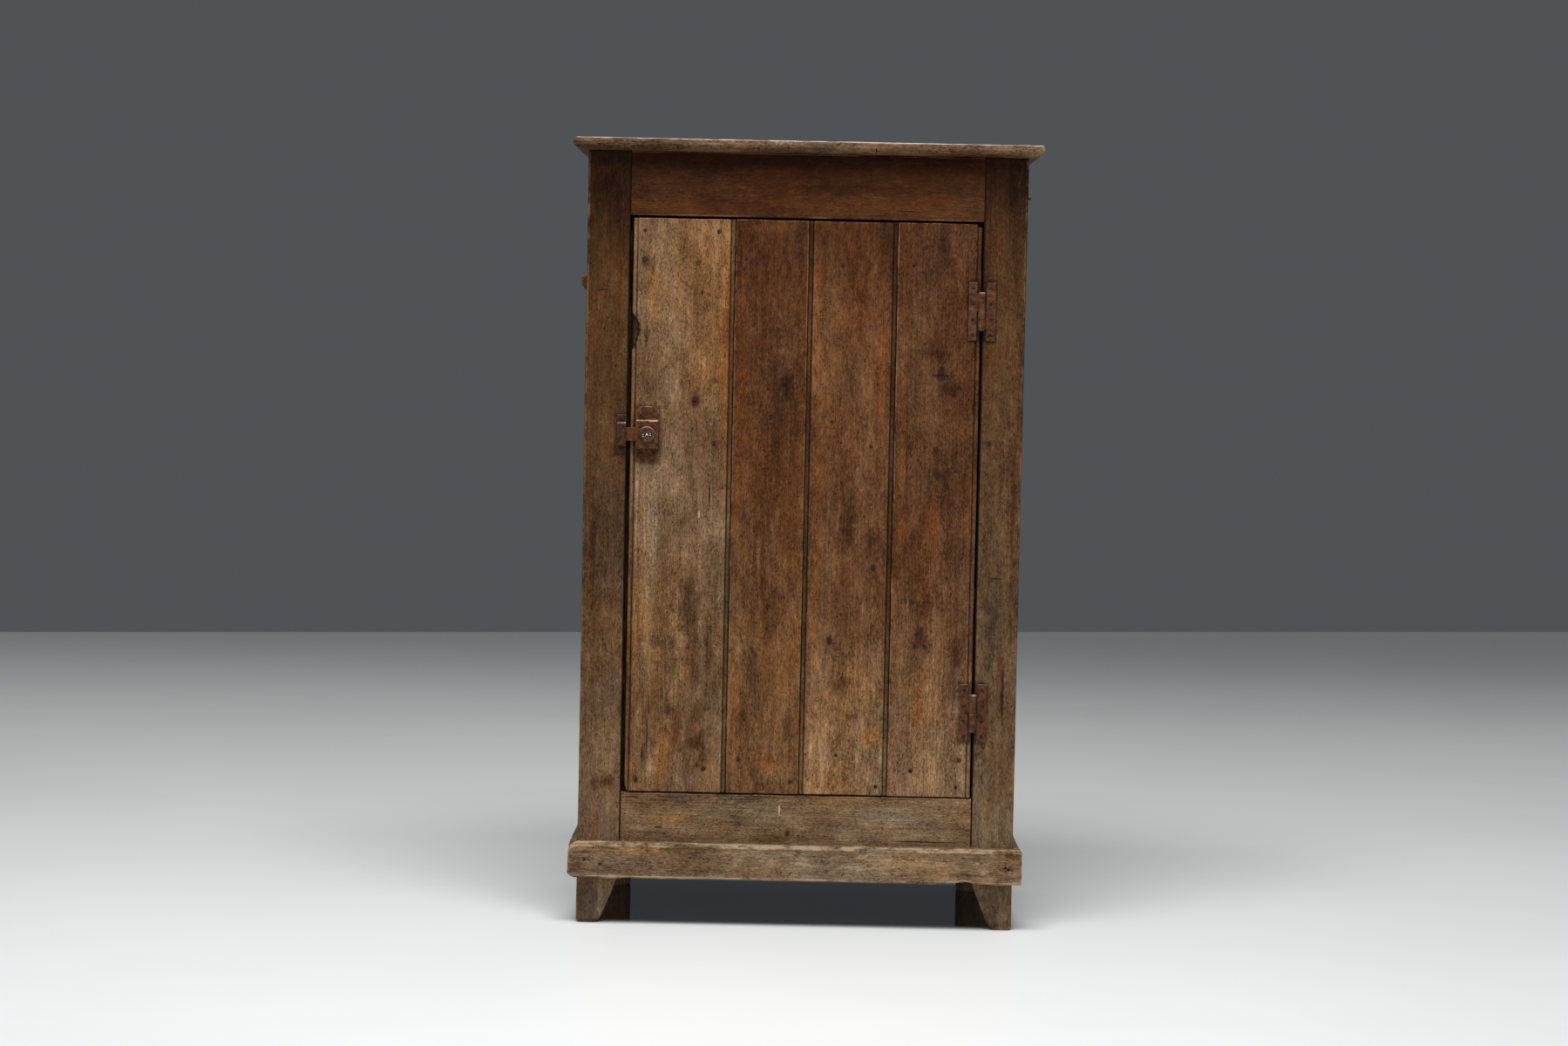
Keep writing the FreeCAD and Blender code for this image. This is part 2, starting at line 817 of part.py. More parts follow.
def lock_back_plate():
    """The plate inside the case, against the door, that the bolt slides on."""
    half_width = lock_plate_width / 2 - lock_box_side_margin - lock_sheet - lock_back_fit
    half_height = lock_box_height / 2 - lock_sheet - lock_back_fit
    return block(
        (lock_x - half_width, lock_x + half_width),
        (out_from_door(lock_back_thickness), front_face),
        (lock_z - half_height, lock_z + half_height),
    )


def lock_plug():
    """The turning plug: its barrel with the key's slot, the flange that keeps it in, and the crank pin."""
    front = lock_box_depth + plug_stand
    flange_front = lock_box_depth - lock_sheet - plug_flange_room
    flange_back = flange_front - plug_flange_thickness
    barrel = turned_about_lock(plug_radius, (flange_back, front))
    flange = turned_about_lock(plug_flange_radius, (flange_back, flange_front))
    pin_base = Vector(lock_x, out_from_door(flange_back), lock_z + crank_radius)
    pin_length = flange_back - bolt_back_room - bolt_thickness + bolt_lug_thickness - bolt_fit
    pin = Part.makeCylinder(crank_pin_radius, pin_length, pin_base, Vector(0, 1, 0))
    slot = block(
        (lock_x - key_slot_length / 2, lock_x + key_slot_length / 2),
        (out_from_door(front), out_from_door(front - key_depth)),
        (lock_z - key_slot_width / 2, lock_z + key_slot_width / 2),
    )
    return barrel.fuse([flange, pin]).removeSplitter().cut(slot)


def lock_bolt():
    """The bolt, standing just short of the keeper, with the lug that the crank pin drives."""
    back = out_from_door(bolt_back_room)
    front = out_from_door(bolt_back_room + bolt_thickness)
    half_slot = crank_pin_radius + crank_slack
    half_lug = half_slot + bolt_lug_wall
    tip = keeper_right + bolt_end_clearance
    half = bolt_height / 2
    bar = upright_face(
        front,
        (tip, lock_z - half, bolt_nose_round),
        (lock_x + half_lug, lock_z - half, 0),
        (lock_x + half_lug, lock_z + half, 0),
        (tip, lock_z + half, bolt_nose_round),
    ).extrude(Vector(0, bolt_thickness, 0))
    lug_back = front + bolt_lug_thickness
    slot_top = lock_z + crank_radius + half_slot
    lug_z = (lock_z, slot_top + bolt_lug_top_wall)
    lug = block((lock_x - half_lug, lock_x + half_lug), (front, lug_back), lug_z)
    slot_low = lock_z + crank_radius * math.cos(math.radians(crank_turn)) - half_slot
    slot = block((lock_x - half_slot, lock_x + half_slot), (front, back), (slot_low, slot_top))
    return bar.fuse(lug).removeSplitter().cut(slot)


def lock_screws():
    """The screws at the four corners of the lock's flanges."""
    across = lock_plate_width / 2 - lock_screw_side_inset
    up = lock_plate_height / 2 - lock_screw_end_inset
    places = [(x, z) for x in (-across, across) for z in (-up, up)]
    return [screw(Vector(lock_x + x, front_face - lock_sheet, lock_z + z)) for x, z in places]


def keeper():
    """The folded strap on the left post that the bolt shoots behind."""
    half_box = keeper_box_height / 2
    half = half_box + keeper_flange_height
    crest = out_from_door(keeper_depth)
    flat = out_from_door(keeper_sheet)
    inner_crest = crest + keeper_sheet
    inner_half = half_box - keeper_sheet
    inner_bend = keeper_bend - keeper_sheet
    section = side_on_face(
        keeper_right - keeper_width,
        (front_face, lock_z - half, 0),
        (flat, lock_z - half, 0),
        (flat, lock_z - half_box, 0),
        (crest, lock_z - half_box, keeper_bend),
        (crest, lock_z + half_box, keeper_bend),
        (flat, lock_z + half_box, 0),
        (flat, lock_z + half, 0),
        (front_face, lock_z + half, 0),
        (front_face, lock_z + inner_half, 0),
        (inner_crest, lock_z + inner_half, inner_bend),
        (inner_crest, lock_z - inner_half, inner_bend),
        (front_face, lock_z - inner_half, 0),
    )
    return section.extrude(Vector(keeper_width, 0, 0))


def keeper_screws():
    reach = (keeper_box_height + keeper_flange_height) / 2
    x = keeper_right - keeper_width / 2
    return [round_head_screw(Vector(x, out_from_door(keeper_sheet), lock_z + z)) for z in (-reach, reach)]


# Nails


def door_nails():
    nails = []
    start = door_left
    for board_share, ledge_places in zip(door_board_shares, door_nail_shares):
        width = door_width * board_share
        for centre, places in zip(ledge_centres, ledge_places):
            for across, up in places:
                z = centre + (up - 1 / 2) * ledge_height
                nails.append(nail(Vector(start + across * width, front_face, z), Vector(0, 1, 0)))
        start += width
    return nails


def wall_nails():
    """Nails through the side boards into posts and bearers, and through the back boards into rails."""
    nails = []
    laps = [side_row_front + side_rebate / 2, side_row_front + side_row_width - side_rebate / 2]
    middles = []
    start = side_row_front
    for share in side_board_shares:
        middles.append(start + share * side_row_width / 2)
        start += share * side_row_width
    for level, top in bearer_tops.items():
        for y in laps if "shelf" in level else laps + middles:
            driven = nail(Vector(half_body, y, top - bearer_height / 2), Vector(-1, 0, 0))
            nails += [driven, mirrored(driven)]
    start = opening_half + back_rebate
    for share in back_board_shares:
        width = share * 2 * (opening_half + back_rebate)
        for rail_z in (spans[1] for spans in rear_rails.values()):
            for across in (wall_nail_edge_share, 1 - wall_nail_edge_share):
                spot = Vector(start - across * width, rear_face, (rail_z[0] + rail_z[1]) / 2)
                nails.append(nail(spot, Vector(0, -1, 0)))
        start -= width
    return nails


def plinth_and_top_nails():
    """Nails through the plinth into the posts, and down through the top."""
    nails = []
    plinth_middle = foot_height + plinth_height / 2
    outer = half_body + plinth_side_thickness
    post_middle = opening_half + post_width / 2
    plinth_face = front_face - plinth_front_thickness
    spots = [
        (Vector(outer - plinth_nail_inset, plinth_face, plinth_middle), Vector(0, 1, 0)),
        (Vector(outer, front_face + post_thickness / 2, plinth_middle), Vector(-1, 0, 0)),
        (Vector(outer, rear_face - post_thickness / 2, plinth_middle), Vector(-1, 0, 0)),
    ]
    down_spots = [
        Vector(post_middle, front_face + post_thickness / 2, top_surface),
        Vector(post_middle, rear_face - post_thickness / 2, top_surface),
        Vector(top_nail_inset, front_face + rail_thickness / 2, top_surface),
    ]
    driven = [nail(spot, direction) for spot, direction in spots]
    driven += [nail(spot, Vector(0, 0, -1), top_nail_length) for spot in down_spots]
    for piece in driven:
        nails += [piece, mirrored(piece)]
    return nails


def spare_nail():
    """The nail left standing out of the right-hand side, driven into the front post."""
    spot = Vector(
        half_body + spare_nail_stand, front_face + spare_nail_front_inset, carcase_height - spare_nail_drop
    )
    return nail(spot, Vector(-1, 0, 0))


def build():
    """Every node of the cabinet by name."""
    nodes = {}
    carcase_nails = wall_nails() + plinth_and_top_nails() + [spare_nail()]
    frame_screws = leaf_screws(1, frame_leaf_width)
    strap_screws = keeper_screws()
    into_carcase = carcase_nails + frame_screws + strap_screws

    right_front = front_post()
    right_rear = rear_post()
    sides = side_boards()
    wood = {
        "left_front_post": mirrored(right_front),
        "right_front_post": right_front,
        "left_rear_post": mirrored(right_rear),
        "right_rear_post": right_rear,
        "front_plinth": front_plinth(),
        "left_plinth": mirrored(side_plinth()),
        "right_plinth": side_plinth(),
    }
    for name, spans in {**front_rails, **rear_rails}.items():
        wood[name] = make_rail(*spans)
    wood["top_front_board"], wood["top_rear_board"] = top_boards()
    for number, board in enumerate(sides, start=1):
        wood[f"right_side_board_{number}"] = board
        wood[f"left_side_board_{number}"] = mirrored(board)
    for number, board in enumerate(back_boards(), start=1):
        wood[f"back_board_{number}"] = board
    for level, top in bearer_tops.items():
        wood[f"right_{level}_bearer"] = bearer(top)
        wood[f"left_{level}_bearer"] = mirrored(bearer(top))
    for name, piece in wood.items():
        nodes[name] = drilled(piece, into_carcase)

    nodes["floor_front_board"], nodes["floor_rear_board"] = deck(rail_back, floor_top)
    for level, top in zip(("lower", "upper"), shelf_tops):
        nodes[f"{level}_shelf_front_board"], nodes[f"{level}_shelf_rear_board"] = deck(shelf_front, top)
    nodes["door_stop"] = door_stop()
    nodes["side_cleat"] = side_cleat()
    nodes["keeper"] = drilled(keeper(), strap_screws)
    nodes["carcase_nails"] = Part.makeCompound(carcase_nails)
    nodes["frame_screws"] = Part.makeCompound(frame_screws)
    nodes["keeper_screws"] = Part.makeCompound(strap_screws)

    board_nails = door_nails()
    door_screws = leaf_screws(-1, door_leaf_width) + lock_screws()
    into_door = board_nails + door_screws
    for number, board in enumerate(door_boards(), start=1):
        nodes[f"door_board_{number}"] = drilled(board, into_door)
    for name, centre in zip(("bottom_ledge", "middle_ledge", "top_ledge"), ledge_centres):
        nodes[name] = drilled(ledge(centre), into_door)
    nodes["door_nails"] = Part.makeCompound(board_nails)
    nodes["door_screws"] = Part.makeCompound(door_screws)

    door_leaf = hinge_leaf(-1, door_leaf_width, True)
    frame_leaf = hinge_leaf(1, frame_leaf_width, False)
    for name, height in hinge_heights.items():
        nodes[f"{name}_door_leaf"] = drilled(at_hinge(door_leaf, height), door_screws)
        nodes[f"{name}_frame_leaf"] = drilled(at_hinge(frame_leaf, height), frame_screws)
        nodes[f"{name}_hinge_pin"] = at_hinge(hinge_pin(), height)

    nodes["lock_case"] = drilled(lock_case(), door_screws)
    nodes["lock_back_plate"] = lock_back_plate()
    nodes["lock_plug"] = lock_plug()
    nodes["lock_bolt"] = lock_bolt()
    return nodes


def report_places():
    """Print the places that joints, mounts and openings are stated at."""
    print("hinge axis x y", hinge_x, hinge_y)
    print("lock axis x z", lock_x, lock_z, "throw", bolt_throw)
    print("front and rear faces y", front_face, rear_face, "top z", top_surface)
    print("side inner x", side_inner, "shelf front y", shelf_front, "rear post front y", rear_post_front)
    print("floor top z", floor_top, "shelf tops z", shelf_tops, "opening half x", opening_half)


if __name__ == "__main__":
    os.makedirs("parts", exist_ok=True)
    for node_name, shape in build().items():
        solids = shape.Solids
        volume = sum(solid.Volume for solid in solids)
        print(node_name, len(solids), round(volume), "valid" if shape.isValid() else "NOT VALID")
        shape.exportStep(os.path.join("parts", node_name + ".step"))
    report_places()
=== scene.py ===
import json
import math

import bmesh
import bpy
from mathutils import Matrix, Vector, noise

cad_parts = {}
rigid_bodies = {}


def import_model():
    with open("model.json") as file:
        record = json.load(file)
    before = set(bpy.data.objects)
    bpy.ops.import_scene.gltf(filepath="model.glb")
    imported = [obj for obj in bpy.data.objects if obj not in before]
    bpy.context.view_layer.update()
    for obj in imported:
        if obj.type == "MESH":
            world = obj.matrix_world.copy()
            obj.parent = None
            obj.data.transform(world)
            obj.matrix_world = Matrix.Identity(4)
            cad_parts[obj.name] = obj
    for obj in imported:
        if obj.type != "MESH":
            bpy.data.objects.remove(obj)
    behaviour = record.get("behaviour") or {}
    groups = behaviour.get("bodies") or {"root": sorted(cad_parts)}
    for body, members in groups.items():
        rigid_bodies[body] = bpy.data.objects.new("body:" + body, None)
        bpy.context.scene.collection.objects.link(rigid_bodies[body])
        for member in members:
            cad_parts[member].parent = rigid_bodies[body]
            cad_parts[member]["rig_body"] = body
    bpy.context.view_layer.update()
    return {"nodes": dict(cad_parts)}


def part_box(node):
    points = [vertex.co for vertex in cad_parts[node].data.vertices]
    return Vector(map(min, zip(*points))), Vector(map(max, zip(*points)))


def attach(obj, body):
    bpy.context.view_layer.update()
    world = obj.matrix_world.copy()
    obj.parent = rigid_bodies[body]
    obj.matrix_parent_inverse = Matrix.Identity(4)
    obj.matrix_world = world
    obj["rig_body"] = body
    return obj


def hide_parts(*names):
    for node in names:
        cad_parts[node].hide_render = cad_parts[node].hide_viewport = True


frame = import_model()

# The looks of a rustic one-door storage cabinet in old softwood, built round its construction.
# Metres. X runs to the right of someone facing the door, Y to the back and Z up.

# Camera, fitted to the cabinet's corners in the photograph. The real cabinet leans a little to the
# right, because its right-hand feet are worn. The model is upright, so the camera is rolled instead.
photo_width = 1799
photo_height = 1200
camera_place = Vector((-0.0285, -5.8, 0.9535))
camera_yaw = -0.0001
camera_pitch = 0.0501
camera_roll = 0.0200
focal_pixels = 3875.6
sensor_width = 36.0

# Room
floor_colour = (0.785, 0.80, 0.805)
floor_far_shade_colour = (0.40, 0.43, 0.44)
floor_shade_fade = (2.3, 5.8)
floor_far_row = 725
floor_near = -8.0
floor_half_width = 9.0
mirror_side = (0.37, 0.345)
mirror_front = (-0.23, -0.16)
mirror_back = (0.31, 0.26)
mirror_strength = 0.95
mirror_colour = (0.34, 0.34, 0.35)
mirror_roughness = 0.06
backdrop_colour = (0.078, 0.087, 0.094)
ambient_colour = (1.0, 0.99, 0.97)
ambient_strength = 0.34
key_power = 205.0
key_size = (2.8, 1.6)
key_place = Vector((-0.15, -1.75, 4.0))
key_target = Vector((0.0, -0.25, 0.6))
fill_power = 85.0
fill_size = (3.6, 3.6)
fill_place = Vector((-1.65, -6.3, 1.95))

# Sizes of the wood that repeat
board_gap = 0.0009
bead_radius = 0.0036
quirk_width = 0.0015
tongue_thickness = 0.005
tongue_length = 0.007
groove_play = 0.0001
section_spacing = 0.009
station_spacing = 0.010
arris_radius = 0.0014
arc_steps = 4
support_run = 0.0012


def camera_axes():
    """The camera's right, up and forward directions."""
    level = math.cos(camera_pitch)
    forward = Vector((math.sin(camera_yaw) * level, math.cos(camera_yaw) * level, -math.sin(camera_pitch)))
    level_right = Vector((math.cos(camera_yaw), -math.sin(camera_yaw), 0))
    level_up = level_right.cross(forward)
    right = level_right * math.cos(camera_roll) + level_up * math.sin(camera_roll)
    up = level_up * math.cos(camera_roll) - level_right * math.sin(camera_roll)
    return right, up, forward


def pixel_ray(across, down):
    """The direction in which the photograph shows this pixel."""
    right, up, forward = camera_axes()
    return forward * focal_pixels + right * (across - photo_width / 2) + up * (photo_height / 2 - down)


def at_pixel(across, down, plane_y):
    """The point in this plane, which faces the front, that the photograph shows at this pixel."""
    ray = pixel_ray(across, down)
    return camera_place + ray * ((plane_y - camera_place.y) / ray.y)


def on_floor(across, down):
    """The point of the floor that the photograph shows at this pixel."""
    ray = pixel_ray(across, down)
    return camera_place - ray * (camera_place.z / ray.z)


def make_camera():
    right, up, forward = camera_axes()
    data = bpy.data.cameras.new("camera")
    data.sensor_width = sensor_width
    data.lens = focal_pixels * sensor_width / photo_width
    camera = bpy.data.objects.new("camera", data)
    bpy.context.scene.collection.objects.link(camera)
    turned = Matrix((right, up, -forward)).transposed().to_4x4()
    camera.matrix_world = Matrix.Translation(camera_place) @ turned
    bpy.context.scene.camera = camera


# Shader building


class Graph:
    """The nodes of one new material or world, added by calls that read as a formula."""

    def __init__(self, block):
        self.block = block
        block.use_nodes = True
        self.tree = block.node_tree
        self.tree.nodes.clear()

    def feed(self, socket, value):
        if isinstance(value, bpy.types.NodeSocket):
            self.tree.links.new(value, socket)
        else:
            socket.default_value = value

    def node(self, kind, inputs, **settings):
        made = self.tree.nodes.new(kind)
        for name, value in settings.items():
            setattr(made, name, value)
        for key, value in inputs.items():
            self.feed(made.inputs[key], value)
        return made

    def math(self, operation, first, second=0.0, third=0.0):
        inputs = {0: first, 1: second, 2: third}
        return self.node("ShaderNodeMath", inputs, operation=operation).outputs[0]

    def vector(self, operation, first, second=(0, 0, 0), third=(0, 0, 0)):
        made = self.node("ShaderNodeVectorMath", {0: first, 1: second, 2: third}, operation=operation)
        return made.outputs["Value" if operation == "LENGTH" else "Vector"]

    def parts(self, vector):
        return self.node("ShaderNodeSeparateXYZ", {"Vector": vector}).outputs

    def swing(self, value, weight, base):
        """The base, moved by how far the value is from its middle, one half."""
        return self.math("MULTIPLY_ADD", self.math("SUBTRACT", value, 0.5), weight, base)

    def total(self, *weighted):
        """A sum of (value, weight) pairs, each value counted from its middle."""
        result = 0.5
        for value, weight in weighted:
            result = self.swing(value, weight, result)
        return result

    def fade(self, value, low, high, to_low=0.0, to_high=1.0):
        """Goes smoothly from one value at low to the other at high."""
        inputs = {"Value": value, "From Min": low, "From Max": high, "To Min": to_low, "To Max": to_high}
        return self.node("ShaderNodeMapRange", inputs, interpolation_type="SMOOTHSTEP").outputs[0]

    def mix(self, share, first, second):
        made = self.node("ShaderNodeMix", {}, data_type="RGBA")
        sockets = [socket for socket in made.inputs if socket.type == "RGBA"]
        self.feed(made.inputs[0], share)
        for socket, value in zip(sockets, (first, second)):
            self.feed(socket, value if isinstance(value, bpy.types.NodeSocket) else (*value, 1.0))
        return next(socket for socket in made.outputs if socket.type == "RGBA")

    def lay(self, colour, mask, strength, over):
        """The colour with another over it, where the mask is and as strongly as this."""
        return self.mix(self.math("MULTIPLY", mask, strength), colour, over)

    def noise(self, place, stretch, detail=3.0, rough=0.55, distortion=0.0):
        """Noise with this many features to the metre along each axis."""
        scaled = self.vector("MULTIPLY", place, stretch)
        looks = {"Scale": 1.0, "Detail": detail, "Roughness": rough, "Distortion": distortion}
        return self.node("ShaderNodeTexNoise", {"Vector": scaled, **looks}).outputs["Fac"]

    def cells(self, place, stretch):
        """How far the nearest of some scattered points is."""
        scaled = self.vector("MULTIPLY", place, stretch)
        return self.node("ShaderNodeTexVoronoi", {"Vector": scaled, "Scale": 1.0}).outputs["Distance"]

    def dots(self, place, density, size, share, seed):
        """Round dots over a face, wherever it looks: this many cells to the metre, each with a dot of up
        to this share of it, in as many of the cells as the share says."""
        parts = self.parts(place)
        across = self.math("ADD", self.math("ADD", parts[0], parts[1]), seed)
        flat = self.node("ShaderNodeCombineXYZ", {"X": across, "Y": parts[2]}).outputs[0]
        cells = {"Vector": flat, "Scale": density}
        made = self.node("ShaderNodeTexVoronoi", cells, voronoi_dimensions="2D")
        picked = self.node("ShaderNodeSeparateColor", {"Color": made.outputs["Color"]}).outputs
        reach = self.math("MULTIPLY_ADD", picked[1], size * 0.55, size * 0.45)
        inside = self.fade(self.math("DIVIDE", made.outputs["Distance"], reach), 1.15, 0.70)
        return self.math("MULTIPLY", inside, self.math("LESS_THAN", picked[0], share))

    def ramp(self, value, *stops):
        made = self.node("ShaderNodeValToRGB", {"Fac": value})
        elements = made.color_ramp.elements
        elements[0].position, elements[-1].position = stops[0][0], stops[-1][0]
        elements[0].color, elements[-1].color = (*stops[0][1], 1.0), (*stops[-1][1], 1.0)
        for place, colour in stops[1:-1]:
            elements.new(place).color = (*colour, 1.0)
        return made.outputs["Color"]

    def attribute(self, name):
        return self.node("ShaderNodeAttribute", {}, attribute_name=name).outputs["Fac"]

    def spot(self, place, centre, half_width, half_height, wobble, soft):
        """One inside an oval on the front, and fading to zero at its rim."""
        settings = {"Location": centre, "Scale": (half_width, 1000.0, half_height), "Vector": place}
        local = self.node("ShaderNodeMapping", settings, vector_type="TEXTURE").outputs[0]
        reach = self.vector("LENGTH", local)
        if wobble is not None:
            reach = self.swing(wobble, 1.6, reach)
        return self.fade(reach, 1.0, 1.0 - soft)

    def beside(self, place, node, reach, wobble):
        """One behind a node that is fixed to the front, and fading to zero this far outside its edge."""
        low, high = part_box(node)
        centred = self.vector("SUBTRACT", place, (low + high) / 2)
        outside = self.vector("SUBTRACT", self.vector("ABSOLUTE", centred), (high - low) / 2)
        parts = self.parts(outside)
        farthest = self.math("MAXIMUM", parts[0], parts[2])
        return self.fade(self.swing(wobble, reach * 1.2, farthest), reach, -reach * 0.2)

    def surface(self, colour, roughness, height, depth, strength=1.0, metallic=0.0, specular=0.06):
        """A surface whose relief is this deep and felt this strongly."""
        relief = {"Height": height, "Distance": depth, "Strength": strength}
        return self.node("ShaderNodeBsdfPrincipled", {
            "Base Color": colour, "Roughness": roughness, "Metallic": metallic,
            "Specular IOR Level": specular, "Normal": self.node("ShaderNodeBump", relief).outputs[0],
        }).outputs[0]

    def finish(self, *looks):
        """The material, with a surface of these looks."""
        self.node("ShaderNodeOutputMaterial", {"Surface": self.surface(*looks)})
        return self.block


# Wood. Every board has its own cut of grain and its own colours. The lower colour is at the floor
# and the upper one under the top; the upper one is darker, partly the wood's own tone and partly
# painted shade towards the top.

grain_orders = {"X": (2, 1, 0), "Y": (0, 2, 1), "Z": (0, 1, 2)}
grain_gains = (
    (0.02, (0.40, 0.33, 0.27)),
    (0.30, (0.72, 0.66, 0.60)),
    (0.50, (1.00, 1.00, 1.00)),
    (0.74, (1.32, 1.38, 1.45)),
    (0.98, (1.75, 1.95, 2.20)),
)
gain_unit = 3.0
warmth_tints = ((0.20, (0.86, 0.98, 1.0)), (0.50, (0.96, 0.97, 0.90)), (0.82, (1.0, 0.91, 0.66)))
aged_tint = (0.97, 0.90, 0.81)
cool_tint = (1.02, 1.02, 1.12)
painted_shade_tint = (0.34, 0.21, 0.10)
iron_shade_tint = (0.36, 0.33, 0.31)
soil_colour = (0.050, 0.027, 0.014)
fleck_colour = (0.022, 0.011, 0.006)
pit_colour = (0.026, 0.013, 0.007)
nail_ring_colour = (0.016, 0.009, 0.006)
hole_colour = (0.008, 0.004, 0.002)
pore_colour = (0.014, 0.008, 0.005)
groove_colour = (0.007, 0.004, 0.002)
end_grain_colour = (0.05, 0.028, 0.015)
knot_colour = (0.024, 0.011, 0.006)
crack_colour = (0.012, 0.006, 0.003)
ring_spacing = 0.0042
ring_centre = (0.02, 0.05)
front_plane = -0.2055
pixel_size = 0.00145
iron_shade_reach = 0.0075
nail_ring_size = (0.0052, 0.0056)
split_knot_size = 5

# A mark either tints the wood, which keeps its grain, or covers it.
mark_tints = {
    "dark": (0.45, 0.40, 0.37),
    "smudge": (0.50, 0.55, 0.66),
    "pale": (1.55, 1.72, 1.95),
    "grey": (1.15, 1.28, 1.50),
    "orange": (1.28, 0.98, 0.62),
    "red": (0.82, 0.62, 0.50),
    "dim": (0.70, 0.77, 0.84),
    "hatch": (1.7, 1.8, 1.9),
}
mark_covers = {"crack": crack_colour, "white": (0.42, 0.33, 0.26)}


class Wood(Graph):
    """The nodes of one board's wood. Each step lays something more over the colour so far."""

    def __init__(self, name, along, seed, plane_y, contrast, knots):
        super().__init__(bpy.data.materials.new(name))
        self.contrast = contrast
        self.plane_y = plane_y
        self.place = self.node("ShaderNodeTexCoord", {}).outputs["Object"]
        parts = self.parts(self.place)
        self.height = parts[2]
        order = {number: parts[axis] for number, axis in enumerate(grain_orders[along])}
        turned = self.node("ShaderNodeCombineXYZ", order).outputs[0]
        self.shifted = self.vector("ADD", turned, (seed * 1.37, seed * 0.71, seed * 2.13))
        self.ripple = self.noise(self.shifted, (45, 45, 11), 2.0)
        self.mottle = self.noise(self.shifted, (75, 75, 34), 4.0, 0.66)
        self.knots = [(at_pixel(across, down, plane_y), size * pixel_size) for across, down, size in knots]
        self.grain = self.bent_grain()
        self.fibre = self.noise(self.grain, (800, 800, 24), 5.0, 0.68)
        self.streak = self.noise(self.grain, (150, 150, 3.0), 4.0, 0.6)
        self.band = self.noise(self.grain, (34, 34, 1.3), 2.0)
        self.blotch = self.noise(self.shifted, (13, 13, 6.5), 4.0, 0.6, 0.4)
        self.patina = self.noise(self.shifted, (30, 30, 9), 3.0, 0.6)
        self.pits = self.noise(self.grain, (520, 520, 210), 3.0, 0.6)
        self.speckle = self.noise(self.grain, (430, 430, 160), 4.0, 0.78)
        self.ring = self.growth_rings((seed * 1.37 + ring_centre[0], seed * 0.71 + ring_centre[1], 0))
        self.colour = None
        weights = ((self.fibre, 0.85), (self.ring, 0.10), (self.mottle, 0.6), (self.streak, 0.5))
        self.relief = self.total(*weights)

    def bent_grain(self):
        """The grain wanders, and flows round the knots."""
        wander = self.noise(self.shifted, (7, 7, 2.2), 2.0)
        shift = self.swing(wander, 0.030, self.swing(self.ripple, 0.0030, 0.0))
        for centre, half in self.knots:
            swirl = self.spot(self.place, centre, half * 2.6, half * 6.0, None, 1.0)
            shift = self.math("MULTIPLY_ADD", swirl, 0.006, shift)
        bent = self.node("ShaderNodeCombineXYZ", {"X": shift}).outputs[0]
        return self.vector("ADD", self.shifted, bent)

    def growth_rings(self, centre):
        """Rings round this centre, cut along their length."""
        flat = self.vector("MULTIPLY", self.vector("SUBTRACT", self.grain, centre), (1, 1, 0.012))
        uneven = self.swing(self.band, 0.012, self.vector("LENGTH", flat))
        phase = self.math("FRACT", self.math("DIVIDE", uneven, ring_spacing))
        return self.math("MULTIPLY", self.fade(phase, 0.25, 0.92), self.fade(phase, 1.0, 0.94))

    def cover(self, mask, strength, over, height=0.0):
        """Lay a colour over the wood where the mask is, and raise the wood there, or sink it if the
        height is below zero."""
        self.colour = self.lay(self.colour, mask, strength, over)
        if height:
            self.relief = self.math("MULTIPLY_ADD", mask, height, self.relief)

    def tint(self, mask, strength, gain, added=(0, 0, 0)):
        """Make the wood lighter or darker where the mask is."""
        self.cover(mask, strength, self.vector("MULTIPLY_ADD", self.colour, gain, added))

    def bare(self, lower, upper, gradient, shade):
        """The wood's own colours with light and dark grain, and the painted shadow under the top's overhang.
        """
        wide = self.noise(self.shifted, (5.0, 5.0, 2.4), 2.0)
        weights = (
            (self.fibre, 1.05), (self.speckle, 2.20), (self.streak, 0.30), (self.band, 0.55),
            (self.blotch, 1.12), (self.mottle, 0.54), (self.patina, 0.50), (wide, 0.95), (self.ring, -0.06),
        )
        tone = self.total(*((value, weight * self.contrast) for value, weight in weights))
        tone = self.math("SUBTRACT", tone, 0.03 * self.contrast)
        stops = [(place, [value / gain_unit for value in gain]) for place, gain in grain_gains]
        # Lower to upper colour with height; the darker upper colour is partly painted shade.
        share = self.fade(self.swing(self.blotch, 0.55, self.height), *gradient)
        base = self.vector("MULTIPLY", self.mix(share, lower, upper), aged_tint)
        # The shade is a painted shadow: the wood darkens towards the top, under the top's overhang.
        if shade:
            low, high, strength = shade
            shaded_base = self.vector("MULTIPLY", base, painted_shade_tint)
            uneven = self.swing(self.blotch, 0.10, self.height)
            base = self.lay(base, self.fade(uneven, low, high), strength, shaded_base)
        scaled = self.vector("MULTIPLY", base, self.ramp(tone, *stops))
        self.colour = self.vector("MULTIPLY", scaled, (gain_unit, gain_unit, gain_unit))

    def warm(self):
        """Warm and grey places, large and small."""
        large = self.noise(self.shifted, (9, 9, 3.5), 2.0)
        warmth = self.total((large, 1.5), (self.patina, 0.9), (self.speckle, 0.5))
        warmer = self.vector("MULTIPLY", self.colour, self.ramp(warmth, *warmth_tints))
        self.colour = self.vector("MULTIPLY", warmer, cool_tint)

